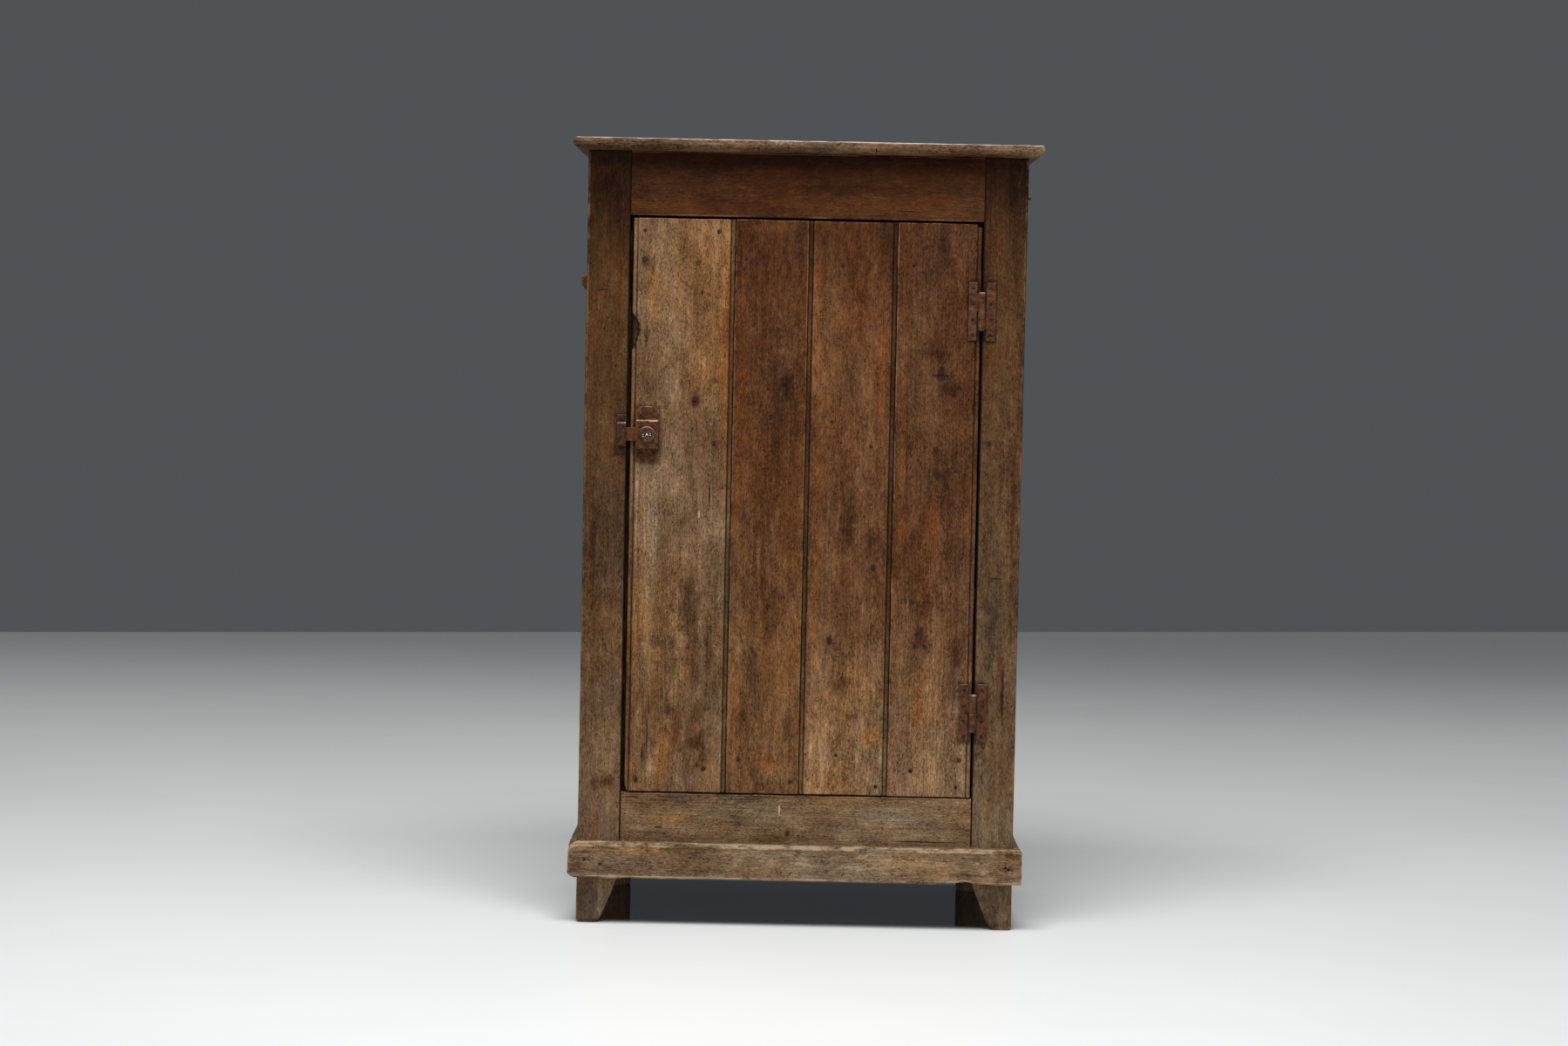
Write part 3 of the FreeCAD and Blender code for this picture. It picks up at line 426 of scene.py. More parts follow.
    def soil(self, pale, dirt):
        """Bleached and dirty patches, flecks between the fibres, and small pits and rubbed places."""
        bleach = self.total((self.fibre, 0.7), (self.streak, 0.6), (self.mottle, 1.3), (self.blotch, 1.2))
        self.tint(self.fade(bleach, 0.54, 0.84), pale, (1.35, 1.42, 1.5), (0.016, 0.012, 0.008))
        dirty = self.noise(self.shifted, (24, 24, 8), 6.0, 0.7)
        self.cover(self.fade(dirty, 0.57, 0.77), dirt * 0.8, soil_colour)
        fleck = self.fade(self.noise(self.grain, (1150, 1150, 62), 2.0, 0.5), 0.62, 0.74)
        self.cover(fleck, 0.35, fleck_colour, -0.35)
        pitted = self.fade(self.total((self.pits, 1.6), (self.mottle, -0.8)), 0.70, 0.79)
        self.cover(pitted, 0.66 * self.contrast, pit_colour, -0.55)
        chafed = self.fade(self.total((self.pits, -1.5), (self.mottle, 0.9)), 0.70, 0.80)
        self.tint(chafed, 0.65, (1.45, 1.5, 1.55), (0.010, 0.008, 0.006))

    def scratch(self):
        """Short pale scratches that cross the grain."""
        for turn in (0.55, -0.38):
            crossed = self.node("ShaderNodeMapping", {
                "Vector": self.shifted, "Rotation": (0.0, turn, 0.0), "Scale": (1 / 620, 1 / 620, 1 / 34),
            }, vector_type="TEXTURE").outputs[0]
            scraped = self.fade(self.noise(crossed, (1, 1, 1), 1.0), 0.67, 0.74)
            self.tint(scraped, 0.45, (1.5, 1.6, 1.7), (0.008, 0.007, 0.006))

    def mark(self, marks):
        """What the photograph shows in one place only."""
        for kind, across, down, half_width, half_height in marks:
            centre = at_pixel(across, down, self.plane_y)
            half_sizes = half_width * pixel_size, half_height * pixel_size
            wobble = self.fibre if kind in ("crack", "orange") else self.mottle
            softness = 0.5 if kind in mark_covers else 1.0
            mask = self.spot(self.place, centre, *half_sizes, wobble, softness)
            if kind == "hatch":
                strokes = self.noise(self.shifted, (130, 130, 620), 2.0)
                mask = self.math("MULTIPLY", mask, self.fade(strokes, 0.48, 0.60))
            if kind in mark_covers:
                self.cover(mask, 0.85, mark_covers[kind])
            else:
                self.tint(mask, 0.85, mark_tints[kind])

    def knot(self):
        """A dark halo and core at each knot, and a split across the larger ones."""
        for centre, half in self.knots:
            halo = self.spot(self.place, centre, half * 2.0, half * 2.7, self.mottle, 0.9)
            self.tint(halo, 0.50, mark_tints["dark"])
            core = self.spot(self.place, centre, half * 0.95, half * 1.4, self.ripple, 0.6)
            self.cover(core, 0.88, knot_colour, -0.5)
            if half > split_knot_size * pixel_size:
                split = self.spot(self.place, centre, half * 0.60, half * 0.20, self.mottle, 0.6)
                self.cover(split, 1.0, crack_colour, -1.5)

    def darken_beside_irons(self, irons, nails):
        """Wood is painted dark just outside the iron plates' edges, a painted shade, and dark round the
        nails.
        """
        for node in irons:
            # Painted shade: the wood darkens just outside each plate's edge.
            self.tint(self.beside(self.place, node, iron_shade_reach, self.mottle), 0.9, iron_shade_tint)
        for centre in nails:
            # A dark ring round each nail head.
            round_nail = self.spot(self.place, centre, *nail_ring_size, self.mottle, 0.65)
            self.cover(round_nail, 0.78, nail_ring_colour)

    def eat(self, worms):
        """Pale specks of dust, and wormholes: small round pits in clusters."""
        dust = self.dots(self.shifted, 96.0, 0.085, 0.10 + 0.10 * worms, 3.1)
        self.tint(dust, 0.7, (2.1, 2.2, 2.4), (0.012, 0.010, 0.008))
        cluster = self.noise(self.shifted, (14, 14, 9), 3.0)
        most = 0.16 + 0.34 * worms
        fewer = self.fade(cluster, 0.62 - 0.30 * worms, 0.40 - 0.30 * worms, 0.0, most)
        hole = self.dots(self.shifted, 135.0, 0.125, self.math("SUBTRACT", most, fewer), 0.0)
        self.cover(hole, 1.0, hole_colour, -2.0)
        pore = self.dots(self.shifted, 290.0, 0.17, 0.05 + 0.10 * worms, 1.7)
        self.cover(pore, 0.8, pore_colour)

    def wear(self, edge_colour, edge_strength, edge_least):
        """Arrises are paler and warmer, partly worn and partly a painted highlight where they catch the
        light; grooves hold dirt, and along the door gap painted shade; end grain is dark.
        """
        worn_here = self.fade(self.total((self.mottle, 1.8), (self.streak, 1.2)), 0.30, 0.68, edge_least)
        self.cover(self.math("MULTIPLY", self.attribute("edge"), worn_here), edge_strength, edge_colour)
        self.cover(self.attribute("groove"), 0.96, groove_colour)
        self.cover(self.attribute("end"), 0.5, end_grain_colour)


def wood(
    name, along, lower, upper, seed, marks=(), knots=(), gradient=(0.15, 1.20), worms=0.5, pale=0.3,
    contrast=1.0, plane_y=front_plane, edge_colour=(0.20, 0.10, 0.045), edge_strength=0.55, edge_least=0.0,
    dirt=0.5, nails=(), shade=None, irons=(),
):
    """Old bare softwood. The gradient is the heights between which the lower colour turns into the
    upper one; the darker upper colours are partly the wood's own and partly painted shade towards the
    top. Marks are (kind, pixel across, pixel down, half width, half height) and knots are (pixel
    across, pixel down, size). Nails are the points round which the wood is painted dark, and irons the
    nodes round whose edges it is painted dark as their shade. The shade is a painted shadow under the
    top's overhang: the heights where it starts and is full, and its strength."""
    board = Wood(name, along, seed, plane_y, contrast, knots)
    board.bare(lower, upper, gradient, shade)
    board.warm()
    board.soil(pale, dirt)
    board.scratch()
    board.mark(marks)
    board.knot()
    board.darken_beside_irons(irons, nails)
    board.eat(worms)
    board.wear(edge_colour, edge_strength, edge_least)
    roughness = board.fade(board.total((board.blotch, 1.3), (board.fibre, 0.6)), 0.25, 0.8, 0.52, 0.80)
    return board.finish(board.colour, roughness, board.relief, 0.0011)


# Metals

rust_roughness = (0.48, 0.82)
rust_relief = 0.0005
rust_specular = 0.09
plug_dull_colours = ((0.016, 0.009, 0.005), (0.042, 0.024, 0.014), (0.080, 0.049, 0.031))
plug_bright_colour = (0.80, 0.74, 0.66)
plug_slot_shade_colour = (0.006, 0.004, 0.003)


def rust(name, seed, dark, middle, bright, worn):
    """Iron under an old even rust, pale where its edges are worn and where faces are marked as lit, a
    painted highlight.
    """
    graph = Graph(bpy.data.materials.new(name))
    place = graph.node("ShaderNodeTexCoord", {}).outputs["Object"]
    shifted = graph.vector("ADD", place, (seed * 0.37, seed * 0.91, seed * 0.53))
    coarse = graph.noise(shifted, (120, 120, 120), 5.0, 0.7)
    grit = graph.noise(shifted, (900, 900, 900), 4.0, 0.7)
    scale = graph.noise(shifted, (330, 330, 330), 5.0, 0.6, 0.5)
    tone = graph.total((coarse, 1.6), (grit, 0.8), (scale, 1.0))
    colour = graph.ramp(tone, (0.12, dark), (0.48, middle), (0.86, bright))
    pit = graph.fade(graph.cells(shifted, (640, 640, 640)), 0.34, 0.10)
    colour = graph.lay(colour, pit, 0.55, [value * 0.35 for value in dark])
    edge = graph.attribute("edge")
    wear_and_highlight = graph.math("MULTIPLY", edge, graph.fade(graph.total((coarse, 1.5), (grit, 0.7)), 0.28, 0.62))
    # The worn colour is laid on worn edges and on the painted highlights of faces marked as lit.
    colour = graph.lay(colour, wear_and_highlight, 0.75, worn)
    colour = graph.lay(colour, graph.attribute("groove"), 0.7, [value * 0.3 for value in dark])
    relief = graph.math("MULTIPLY_ADD", pit, -0.5, graph.total((grit, 0.8), (scale, 0.9)))
    roughness = graph.fade(tone, 0.2, 0.8, *rust_roughness)
    return graph.finish(colour, roughness, relief, rust_relief, 1.0, 0.0, rust_specular)


def plug_brass(name):
    """Old dull metal, bright where the key has worn it and on the post's painted highlight; its key slot is
    painted dark as shade.
    """
    graph = Graph(bpy.data.materials.new(name))
    place = graph.node("ShaderNodeTexCoord", {}).outputs["Object"]
    coarse = graph.noise(place, (260, 260, 260), 4.0, 0.65)
    grit = graph.noise(place, (1500, 1500, 1500), 3.0, 0.6)
    tone = graph.total((coarse, 1.5), (grit, 0.8))
    dull = graph.ramp(tone, *zip((0.15, 0.5, 0.85), plug_dull_colours))
    wear_and_highlight = graph.math("MULTIPLY", graph.attribute("edge"), graph.fade(tone, 0.30, 0.52))
    colour = graph.mix(wear_and_highlight, dull, plug_bright_colour)
    # The key slot and the moat are painted dark: painted shade in the recesses.
    colour = graph.lay(colour, graph.attribute("groove"), 0.85, plug_slot_shade_colour)
    roughness = graph.fade(wear_and_highlight, 0.0, 1.0, 0.60, 0.28)
    return graph.finish(colour, roughness, tone, 0.0003, 1.0, graph.math("MULTIPLY", wear_and_highlight, 0.6), 0.15)


# Mesh building


def quarter(share):
    """How far a quarter round is from full, this share of the way along: one at first and zero at last."""
    left = 1 - min(max(share, 0.0), 1.0)
    return 1 - math.sqrt(1 - left ** 2)


def corner_directions(corners, number):
    """A corner's place, and the directions to the corners before and after it."""
    here = Vector(corners[number][:2])
    to_last = (Vector(corners[number - 1][:2]) - here).normalized()
    to_next = (Vector(corners[(number + 1) % len(corners)][:2]) - here).normalized()
    return here, to_last, to_next


def arc_points(centre, start, end, radius, mark):
    """The points of a rounding, from one offset from its centre round to another."""
    turns = [start.lerp(end, step / arc_steps).normalized() * radius for step in range(arc_steps + 1)]
    return [(centre + turn, mark) for turn in turns]


def rounded(corners, spacing=section_spacing):
    """Points round a closed outline of (u, v, radius, mark) corners. Each point keeps a mark: how much
    of an arris it is, or below zero how much of a groove."""
    arcs = []
    count = len(corners)
    for number, (u, v, radius, mark) in enumerate(corners):
        if not radius:
            arcs.append([(Vector((u, v)), mark)])
            continue
        here, to_last, to_next = corner_directions(corners, number)
        half = to_last.angle(to_next) / 2
        centre = here + (to_last + to_next).normalized() * (radius / math.sin(half))
        start = here + to_last * (radius / math.tan(half)) - centre
        end = here + to_next * (radius / math.tan(half)) - centre
        arcs.append(arc_points(centre, start, end, radius, mark))
    points = []
    for number, arc in enumerate(arcs):
        points += arc
        start = arc[-1][0]
        end = arcs[(number + 1) % count][0][0]
        run = (end - start).length
        if run > support_run * 4:
            pieces = max(1, round((run - 2 * support_run) / spacing))
            first = support_run / run
            shares = [first + (1 - 2 * first) * piece / pieces for piece in range(pieces + 1)]
            points += [(start.lerp(end, share), 0.0) for share in shares]
    return points


def stations(start, end, radius=0.001, extra=(), spacing=station_spacing):
    """Places along a board, each with how far its outline is drawn in there to round the ends."""
    angles = [math.pi / 2 * turn / 3 for turn in range(4)]
    ends = [(radius * (1 - math.cos(angle)), radius * (1 - math.sin(angle))) for angle in angles]
    inner_start = start + radius + support_run
    inner_end = end - radius - support_run
    count = max(1, round((inner_end - inner_start) / spacing))
    middle = [inner_start + (inner_end - inner_start) * number / count for number in range(count + 1)]
    middle += [place for place in extra if inner_start < place < inner_end]
    rows = [(start + run, inset) for run, inset in ends]
    rows += [(place, 0.0) for place in sorted(middle)]
    return rows + [(end - run, inset) for run, inset in reversed(ends)]


axis_places = {
    "X": lambda u, v, s: (s, u, v),
    "Y": lambda u, v, s: (u, s, v),
    "Z": lambda u, v, s: (u, v, s),
}


def inward_normals(points):
    """Which way is into the outline at each of its points."""
    area = sum(a[0].x * b[0].y - b[0].x * a[0].y for a, b in zip(points, points[1:] + points[:1]))
    turn = 1 if area > 0 else -1
    normals = []
    for number in range(len(points)):
        chord = points[(number + 1) % len(points)][0] - points[number - 1][0]
        normal = Vector((-chord.y, chord.x)) * turn
        normals.append(normal.normalized() if normal.length else normal)
    return normals


def skin_layers(made):
    """What the materials read at each point: how much of an arris, a groove and a cut end it is."""
    for name in ("edge", "groove", "end"):
        made.verts.layers.float.new(name)
    return [made.verts.layers.float[name] for name in ("edge", "groove", "end")]


def sweep(name, section, rows, along, end_wear=0.8):
    """A closed skin over the sections that section(place) gives along one axis. Its rounded ends are
    arrises, or grooves where the end wear is below zero."""
    made = bmesh.new()
    edge, groove, end = skin_layers(made)
    rings = []
    for place, inset in rows:
        points = section(place)
        ring = []
        for (point, mark), normal in zip(points, inward_normals(points)):
            drawn = point + normal * inset
            vertex = made.verts.new(axis_places[along](drawn.x, drawn.y, place))
            at_end = end_wear if inset else 0.0
            vertex[edge] = max(mark, at_end, 0.0)
            vertex[groove] = max(-mark, -at_end, 0.0)
            ring.append(vertex)
        rings.append(ring)
    for near, far in zip(rings, rings[1:]):
        for corners in zip(near, near[1:] + near[:1], far[1:] + far[:1], far):
            made.faces.new(corners).smooth = True
    for ring in (rings[0], rings[-1]):
        for vertex in ring:
            vertex[end] = 1.0
        made.faces.new(ring)
    bmesh.ops.recalc_face_normals(made, faces=made.faces)
    return to_object(name, made)


def to_object(name, made):
    mesh = bpy.data.meshes.new(name)
    made.to_mesh(mesh)
    made.free()
    piece = bpy.data.objects.new(name, mesh)
    bpy.context.scene.collection.objects.link(piece)
    return piece


def grain_noise(grain, across, along, shift):
    """Noise with this many features to the metre across the grain and along it."""
    return noise.noise(Vector((grain.x * across, grain.y * across, grain.z * along)) + Vector(shift))


def weather(piece, along, seed, waviness=0.00022, knocks=0.0011, bow=0.0):
    """Make a board's faces uneven, knock its arrises and bend it a little: how far each goes."""
    mesh = piece.data
    order = grain_orders[along]
    edges = mesh.attributes["edge"].data
    normals = [vertex.normal.copy() for vertex in mesh.vertices]
    for vertex in mesh.vertices:
        at = vertex.co
        grain = Vector((at[order[0]], at[order[1]], at[order[2]]))
        wide = grain_noise(grain, 24, 5, (seed, 0, 0))
        fine = grain_noise(grain, 110, 26, (0, seed, 0))
        long_wave = noise.noise(Vector((seed, 0.5, grain.z * 3.1)))
        chip = grain_noise(grain, 30, 42, (0, 0, seed))
        rub = grain_noise(grain, 12, 9, (seed, seed, 0))
        worn = edges[vertex.index].value
        move = waviness * (wide + 0.45 * fine) + bow * long_wave
        move -= worn * knocks * (max(0.0, chip - 0.12) * 1.8 + max(0.0, rub) * 0.8 + 0.12)
        vertex.co = at + normals[vertex.index] * move
    mesh.update()
    return piece


def dress(piece, material, slot, *nodes):
    """Give a piece its material, and let it ride where the construction's nodes do, in their place."""
    piece.data.materials.clear()
    piece.data.materials.append(material)
    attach(piece, frame["nodes"][nodes[0]]["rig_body"])
    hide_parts(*nodes)
    return piece


def spans(node):
    low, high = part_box(node)
    return (low.x, high.x), (low.y, high.y), (low.z, high.z)


def box_corners(span_u, span_v, radii):
    """The corners of a rectangle, all of them arrises."""
    sides = ((0, 0), (1, 0), (1, 1), (0, 1))
    return [(span_u[u], span_v[v], radius, 1.0) for (u, v), radius in zip(sides, radii)]


def plank(node, along, seed, radii=None, end_radius=0.001, **wear):
    """A straight board with the node's own box."""
    span_x, span_y, span_z = spans(node)
    across = {"X": (span_y, span_z, span_x), "Y": (span_x, span_z, span_y), "Z": (span_x, span_y, span_z)}
    span_u, span_v, span_s = across[along]
    outline = rounded(box_corners(span_u, span_v, radii or (arris_radius,) * 4))
    piece = sweep("worn_" + node, lambda place: outline, stations(*span_s, end_radius), along)
    return weather(piece, along, seed, **wear)


def bead_corners(start, direction, front, in_joint):
    """The points of a bead and the slope of its quirk, from a board's edge inwards. A bead in a
    joint is dirty all over, and one on the door's own edge only in its quirk."""
    points = []
    turns = 8
    for turn in range(turns + 1):
        angle = math.pi * turn / turns
        u = start + direction * bead_radius * (1 - math.cos(angle))
        v = front + bead_radius * (1 - math.sin(angle))
        if in_joint:
            mark = -1.0 + 0.52 * math.sin(angle)
        else:
            mark = math.cos(angle) * (0.4 if angle < math.pi / 2 else 0.7)
        points.append((u, v, 0.0, mark))
    quirk_end = start + direction * (2 * bead_radius + quirk_width)
    points.append((quirk_end, front, 0.0004, 0.45))
    return points


def joint_corners(near, tip, middle, half):
    """The corners of a tongue, or of a groove where the half is below zero. They are all dirty."""
    sides = ((near, middle - half), (tip, middle - half), (tip, middle + half), (near, middle + half))
    return [(u, v, 0.0, -1.0) for u, v in sides]


def board_outline(left, right, front, back, groove, tongue, beads=(False, False), arris=0.0011):
    """A tongued board's outline, from its left front edge round to its back."""
    middle = (front + back) / 2
    corners = []
    if beads[0]:
        corners += bead_corners(left, 1, front, groove)
    else:
        corners.append((left, front, arris, 1.0))
    if beads[1]:
        corners += reversed(bead_corners(right, -1, front, tongue))
    else:
        corners.append((right, front, arris, 1.0))
    if tongue:
        corners += joint_corners(right, right + tongue_length, middle, tongue_thickness / 2)
    corners += [(right, back, arris, 1.0), (left, back, arris, 1.0)]
    if groove:
        floor = left + tongue_length + board_gap
        corners += joint_corners(left, floor, middle, -tongue_thickness / 2 - groove_play)
    return rounded(corners)


# Door boards, each with a bead at its left edge, its right edge, both or neither

door_beads = {1: (True, True), 2: (False, False), 3: (True, True), 4: (False, True)}
chip_top = 1.0160
chip_bottom = 0.9550
chip_width = 0.0130
chip_depth = 0.0070
chip_outline = ((0.0, 0.0), (0.55, 0.07), (0.74, 0.30), (1.0, 0.54), (0.95, 0.70), (0.50, 0.88), (0.0, 1.0))
worn_corner = 0.0090
corner_chip_width = 0.0100
corner_chip_height = 0.0060
corner_chip_depth = 0.0080


def chip_reach(place):
    """How far the broken edge of the first board reaches into it at this height."""
    if not chip_bottom < place < chip_top:
        return 0.0
    share = (place - chip_bottom) / (chip_top - chip_bottom)
    for (low_reach, low), (high_reach, high) in zip(chip_outline, chip_outline[1:]):
        if low <= share <= high:
            reach = low_reach + (high_reach - low_reach) * (share - low) / (high - low)
            return chip_width * reach * (1 + 0.22 * noise.noise(Vector((place * 260, 3.3, 0))))
    return 0.0


def broken_edge(outline, place, left, front, base):
    """A board's outline, cut back where its left edge is broken and its lower corner worn round."""
    reach = chip_reach(place)
    least = left + worn_corner * quarter((place - base) / worn_corner)
    points = []
    for point, mark in outline:
        moved = point.copy()
        depth = point.y - front
        if depth < chip_depth - 0.001 and reach:
            limit = left + reach * (1 - 0.16 * depth / chip_depth)
            if moved.x < limit:
                moved.x = limit
                mark = -0.75 if depth > 0.0012 else 1.0
        elif point.x < left + reach and depth < chip_depth + 0.003:
            mark = -0.75
        moved.x = max(moved.x, least)
        points.append((moved, mark))
    return points


def broken_corner(outline, place, right, front, top):
    """A board's outline, cut back where its upper right corner is broken."""
    from_top = top - place
    if from_top > corner_chip_height:
        return outline
    share = 1 - from_top / corner_chip_height
    ragged = 0.12 * noise.noise(Vector((place * 900, 5.1, 0)))
    limit = right - corner_chip_width * min(max(0.35 + 0.65 * share + ragged, 0.0), 1.0)
    points = []
    for point, mark in outline:
        moved = point.copy()
        if point.y - front < corner_chip_depth - 0.001:
            moved.x = min(moved.x, limit)
        points.append((moved, mark))
    return points


def door_board(number):
    """A beaded board of the door. The first has a broken edge and the last a broken upper corner."""
    node = f"door_board_{number}"
    span_x, span_y, span_z = spans(node)
    left = span_x[0]
    last = number == len(door_beads)
    right = span_x[1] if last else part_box(f"door_board_{number + 1}")[0].x - board_gap
    outline = board_outline(left, right, *span_y, number > 1, not last, door_beads[number])
    section = lambda place: outline
    extra = []
    if number == 1:
        section = lambda place: broken_edge(outline, place, left, span_y[0], span_z[0])
        extra = [chip_bottom + (chip_top - chip_bottom) * step / 24 for step in range(25)]
    elif last:
        section = lambda place: broken_corner(outline, place, right, span_y[0], span_z[1])
        extra = [span_z[1] - corner_chip_height * step / 6 for step in range(7)]
    piece = sweep("worn_" + node, section, stations(*span_z, 0.0016, extra), "Z")
    return weather(piece, "Z", number * 3.7, 0.00026, 0.0009)


# Posts. The bases of the wall and of the joint and the foot's places are heights above the floor.
# A sliver keeps corners apart that would lie on each other.

foot_taper = 0.085
foot_toe = 0.037
inner_round = 0.013
outer_round = 0.006
side_rebate = 0.010
wall_base = 0.091
joint_base = 0.137
sliver = 0.00001
foot_places = (0.0, 0.0005, 0.0015, 0.003, 0.005, 0.0075, 0.0105, 0.014)


def foot_edges(place, inner, outer, tapers):
    """Where the inner and outer edges of a foot are at this height."""
    side = 1 if outer > inner else -1
    width = abs(outer - inner)
    toe = foot_toe if tapers else width
    share = min(max(place / foot_taper, 0.0), 1.0)
    wide = toe + (width - toe) * share
    round_in = inner_round if tapers else outer_round
    cut_in = round_in * quarter(place / round_in)
    return outer - side * (wide - cut_in), outer - side * outer_round * quarter(place / outer_round)


def post(node, seed, tapers):
    """A post with rebates for the boards that it holds, and its foot."""
    span_x, span_y, span_z = spans(node)
    right_side = span_x[0] > 0
    inner, outer = (span_x[0], span_x[1]) if right_side else (span_x[1], span_x[0])
    side = 1 if right_side else -1
    wall_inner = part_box("right_side_board_1")[0].x * side
    front, back = span_y
    seat = back - side_rebate if tapers else front + side_rebate

    def section(place):
        edge_in, edge_out = foot_edges(place, inner, outer, tapers)
        corner = wall_inner if place > wall_base else edge_out
        # Above the plinth the inner front arris and the side facing the door gap are painted dark as
        # grooves: painted shade in the gap.
        inner_wear_and_gap_shade = -1.0 if place > joint_base else 1.0
        gap_side_shade = -1.0 if place > joint_base else 0.0
        if tapers:
            corners = [
                (edge_in, front, 0.0016, inner_wear_and_gap_shade),
                (edge_out, front, 0.0026, 1.0),
                (edge_out, seat, 0.0006, 0.6),
                (corner, seat + sliver, 0.0, 0.0),
                (corner - sliver * side, back, 0.0, 0.0),
                (edge_in, back, 0.0015, 1.0),
                (edge_in, front + 0.022, 0.0, gap_side_shade),
                (edge_in, front + 0.005, 0.0, gap_side_shade),
            ]
        else:
            corners = [
                (edge_in, front, 0.0015, 1.0),
                (corner - sliver * side, front, 0.0, 0.0),
                (corner, seat - sliver, 0.0, 0.0),
                (edge_out, seat, 0.0006, 0.6),
                (edge_out, back, 0.0022, 1.0),
                (edge_in, back, 0.0015, 1.0),
            ]
        return even_outline(corners)

    rows = [(place, 0.0) for place in foot_places]
    count = round((span_z[1] - foot_places[-1]) / station_spacing)
    step = (span_z[1] - foot_places[-1]) / count
    rows += [(foot_places[-1] + step * number, 0.0) for number in range(1, count + 1)]
    piece = sweep("worn_" + node, section, rows, "Z")
    return weather(piece, "Z", seed, 0.00035, 0.0016, 0.0009)


def even_outline(corners):
    """An outline with the same number of points whatever its sizes are."""
    pieces = 7
    arcs = []
    for number, (u, v, radius, mark) in enumerate(corners):
        if not radius:
            arcs.append([(Vector((u, v)), mark)])
            continue
        here, to_last, to_next = corner_directions(corners, number)
        start = here + to_last * radius
        end = here + to_next * radius
        centre = start + end - here
        arcs.append(arc_points(centre, start - centre, end - centre, radius, mark))
    points = []
    for number, arc in enumerate(arcs):
        points += arc
        start = arc[-1][0]
        end = arcs[(number + 1) % len(arcs)][0][0]
        run = max((end - start).length, 1e-6)
        first = min(support_run, (end - start).length / 4) / run
        shares = [first + (1 - 2 * first) * piece / pieces for piece in range(pieces + 1)]
        points += [(start.lerp(end, share), 0.0) for share in shares]
    return points


# Top. Its edge is moulded. The left end is worn: round above, and slantwise below.

thumb_run = 0.022
square_edge = 0.005
top_arris = 0.004
worn_end_run = 0.009
worn_end_drop = 0.006
worn_slant_rise = 0.0125
worn_slant = 2.4
# How pale each point round the top's upper front arris is painted: worn, and where over one a painted
# highlight of the light from above.
top_arris_wear_and_highlight = (0.05, 0.05, 0.05, 0.10, 0.6, 1.7, 2.0, 0.8)
top_end_places = (0.0, 0.0004, 0.0012, 0.0025, 0.004, 0.0055, 0.0075, 0.010, 0.013, 0.0165, 0.0205, 0.0235)


def thumb_underside(distance, top, thickness):
    """How high the top's underside is at this distance from its edge."""
    edge = top_arris + square_edge
    return top - edge - (thickness - edge) * (1 - quarter(distance / thumb_run))


def thumb_upper(distance, top):
    """How high its upper face is at this distance from its edge."""
    return top - top_arris * quarter(distance / top_arris)


def top_board(node, seed, moulded_front):
    """A board of the top. Its ends are moulded, and its front edge too if it is the front one."""
    span_x, span_y, span_z = spans(node)
    base, top = span_z
    thickness = top - base
    corners = []
    turns = len(top_arris_wear_and_highlight) - 1
    if moulded_front:
        front = span_y[0]
        for turn, mark in enumerate(top_arris_wear_and_highlight):
            distance = top_arris * (1 - math.cos(math.pi / 2 * turn / turns))
            corners.append((front + distance, thumb_upper(distance, top), 0.0, mark))
        corners.append((span_y[1], top, 0.0012, 0.1))
        corners.append((span_y[1], base, 0.0012, 0.1))
        for turn in range(turns, -1, -1):
            distance = thumb_run * (1 - math.cos(math.pi / 2 * turn / turns))
            corners.append((front + distance, thumb_underside(distance, top, thickness), 0.0, 0.0))
    else:
        corners = [(span_y[0], top, 0.0012, 0.1), (span_y[1], top, 0.0016, 0.4)]
        corners += [(span_y[1], base, 0.0016, 0.3), (span_y[0], base, 0.0012, 0.1)]
    outline = rounded(corners)

    def section(place):
        distance = min(place - span_x[0], span_x[1] - place)
        highest = thumb_upper(distance, top)
        lowest = thumb_underside(distance, top, thickness)
        from_left = place - span_x[0]
        highest = min(highest, top - worn_end_drop * quarter(from_left / worn_end_run))
        lowest = max(lowest, base + worn_slant_rise - worn_slant * from_left)
        return [(Vector((point.x, min(max(point.y, lowest), highest))), mark) for point, mark in outline]

    rows = [(span_x[0] + distance, 0.0) for distance in top_end_places]
    start = span_x[0] + top_end_places[-1]
    stop = span_x[1] - top_end_places[-1]
    count = round((stop - start) / station_spacing)
    rows += [(start + (stop - start) * number / count, 0.0) for number in range(1, count)]
    rows += [(span_x[1] - distance, 0.0) for distance in reversed(top_end_places)]
    piece = sweep("worn_" + node, section, rows, "X")
    return weather(piece, "X", seed, 0.00035, 0.0013)


# Plinth. Shallow bites are out of its lower edge beside the right foot: how far from the right end
# each is, how wide and how deep.

plinth_bevel = 0.0060
plinth_round_run = 0.020
plinth_round_drop = 0.014
plinth_corner_run = 0.004
plinth_corner_drop = 0.003
plinth_lift_run = 0.012
plinth_lift = 0.006
plinth_bites = ((0.093, 0.013, 0.0040), (0.118, 0.012, 0.0016))


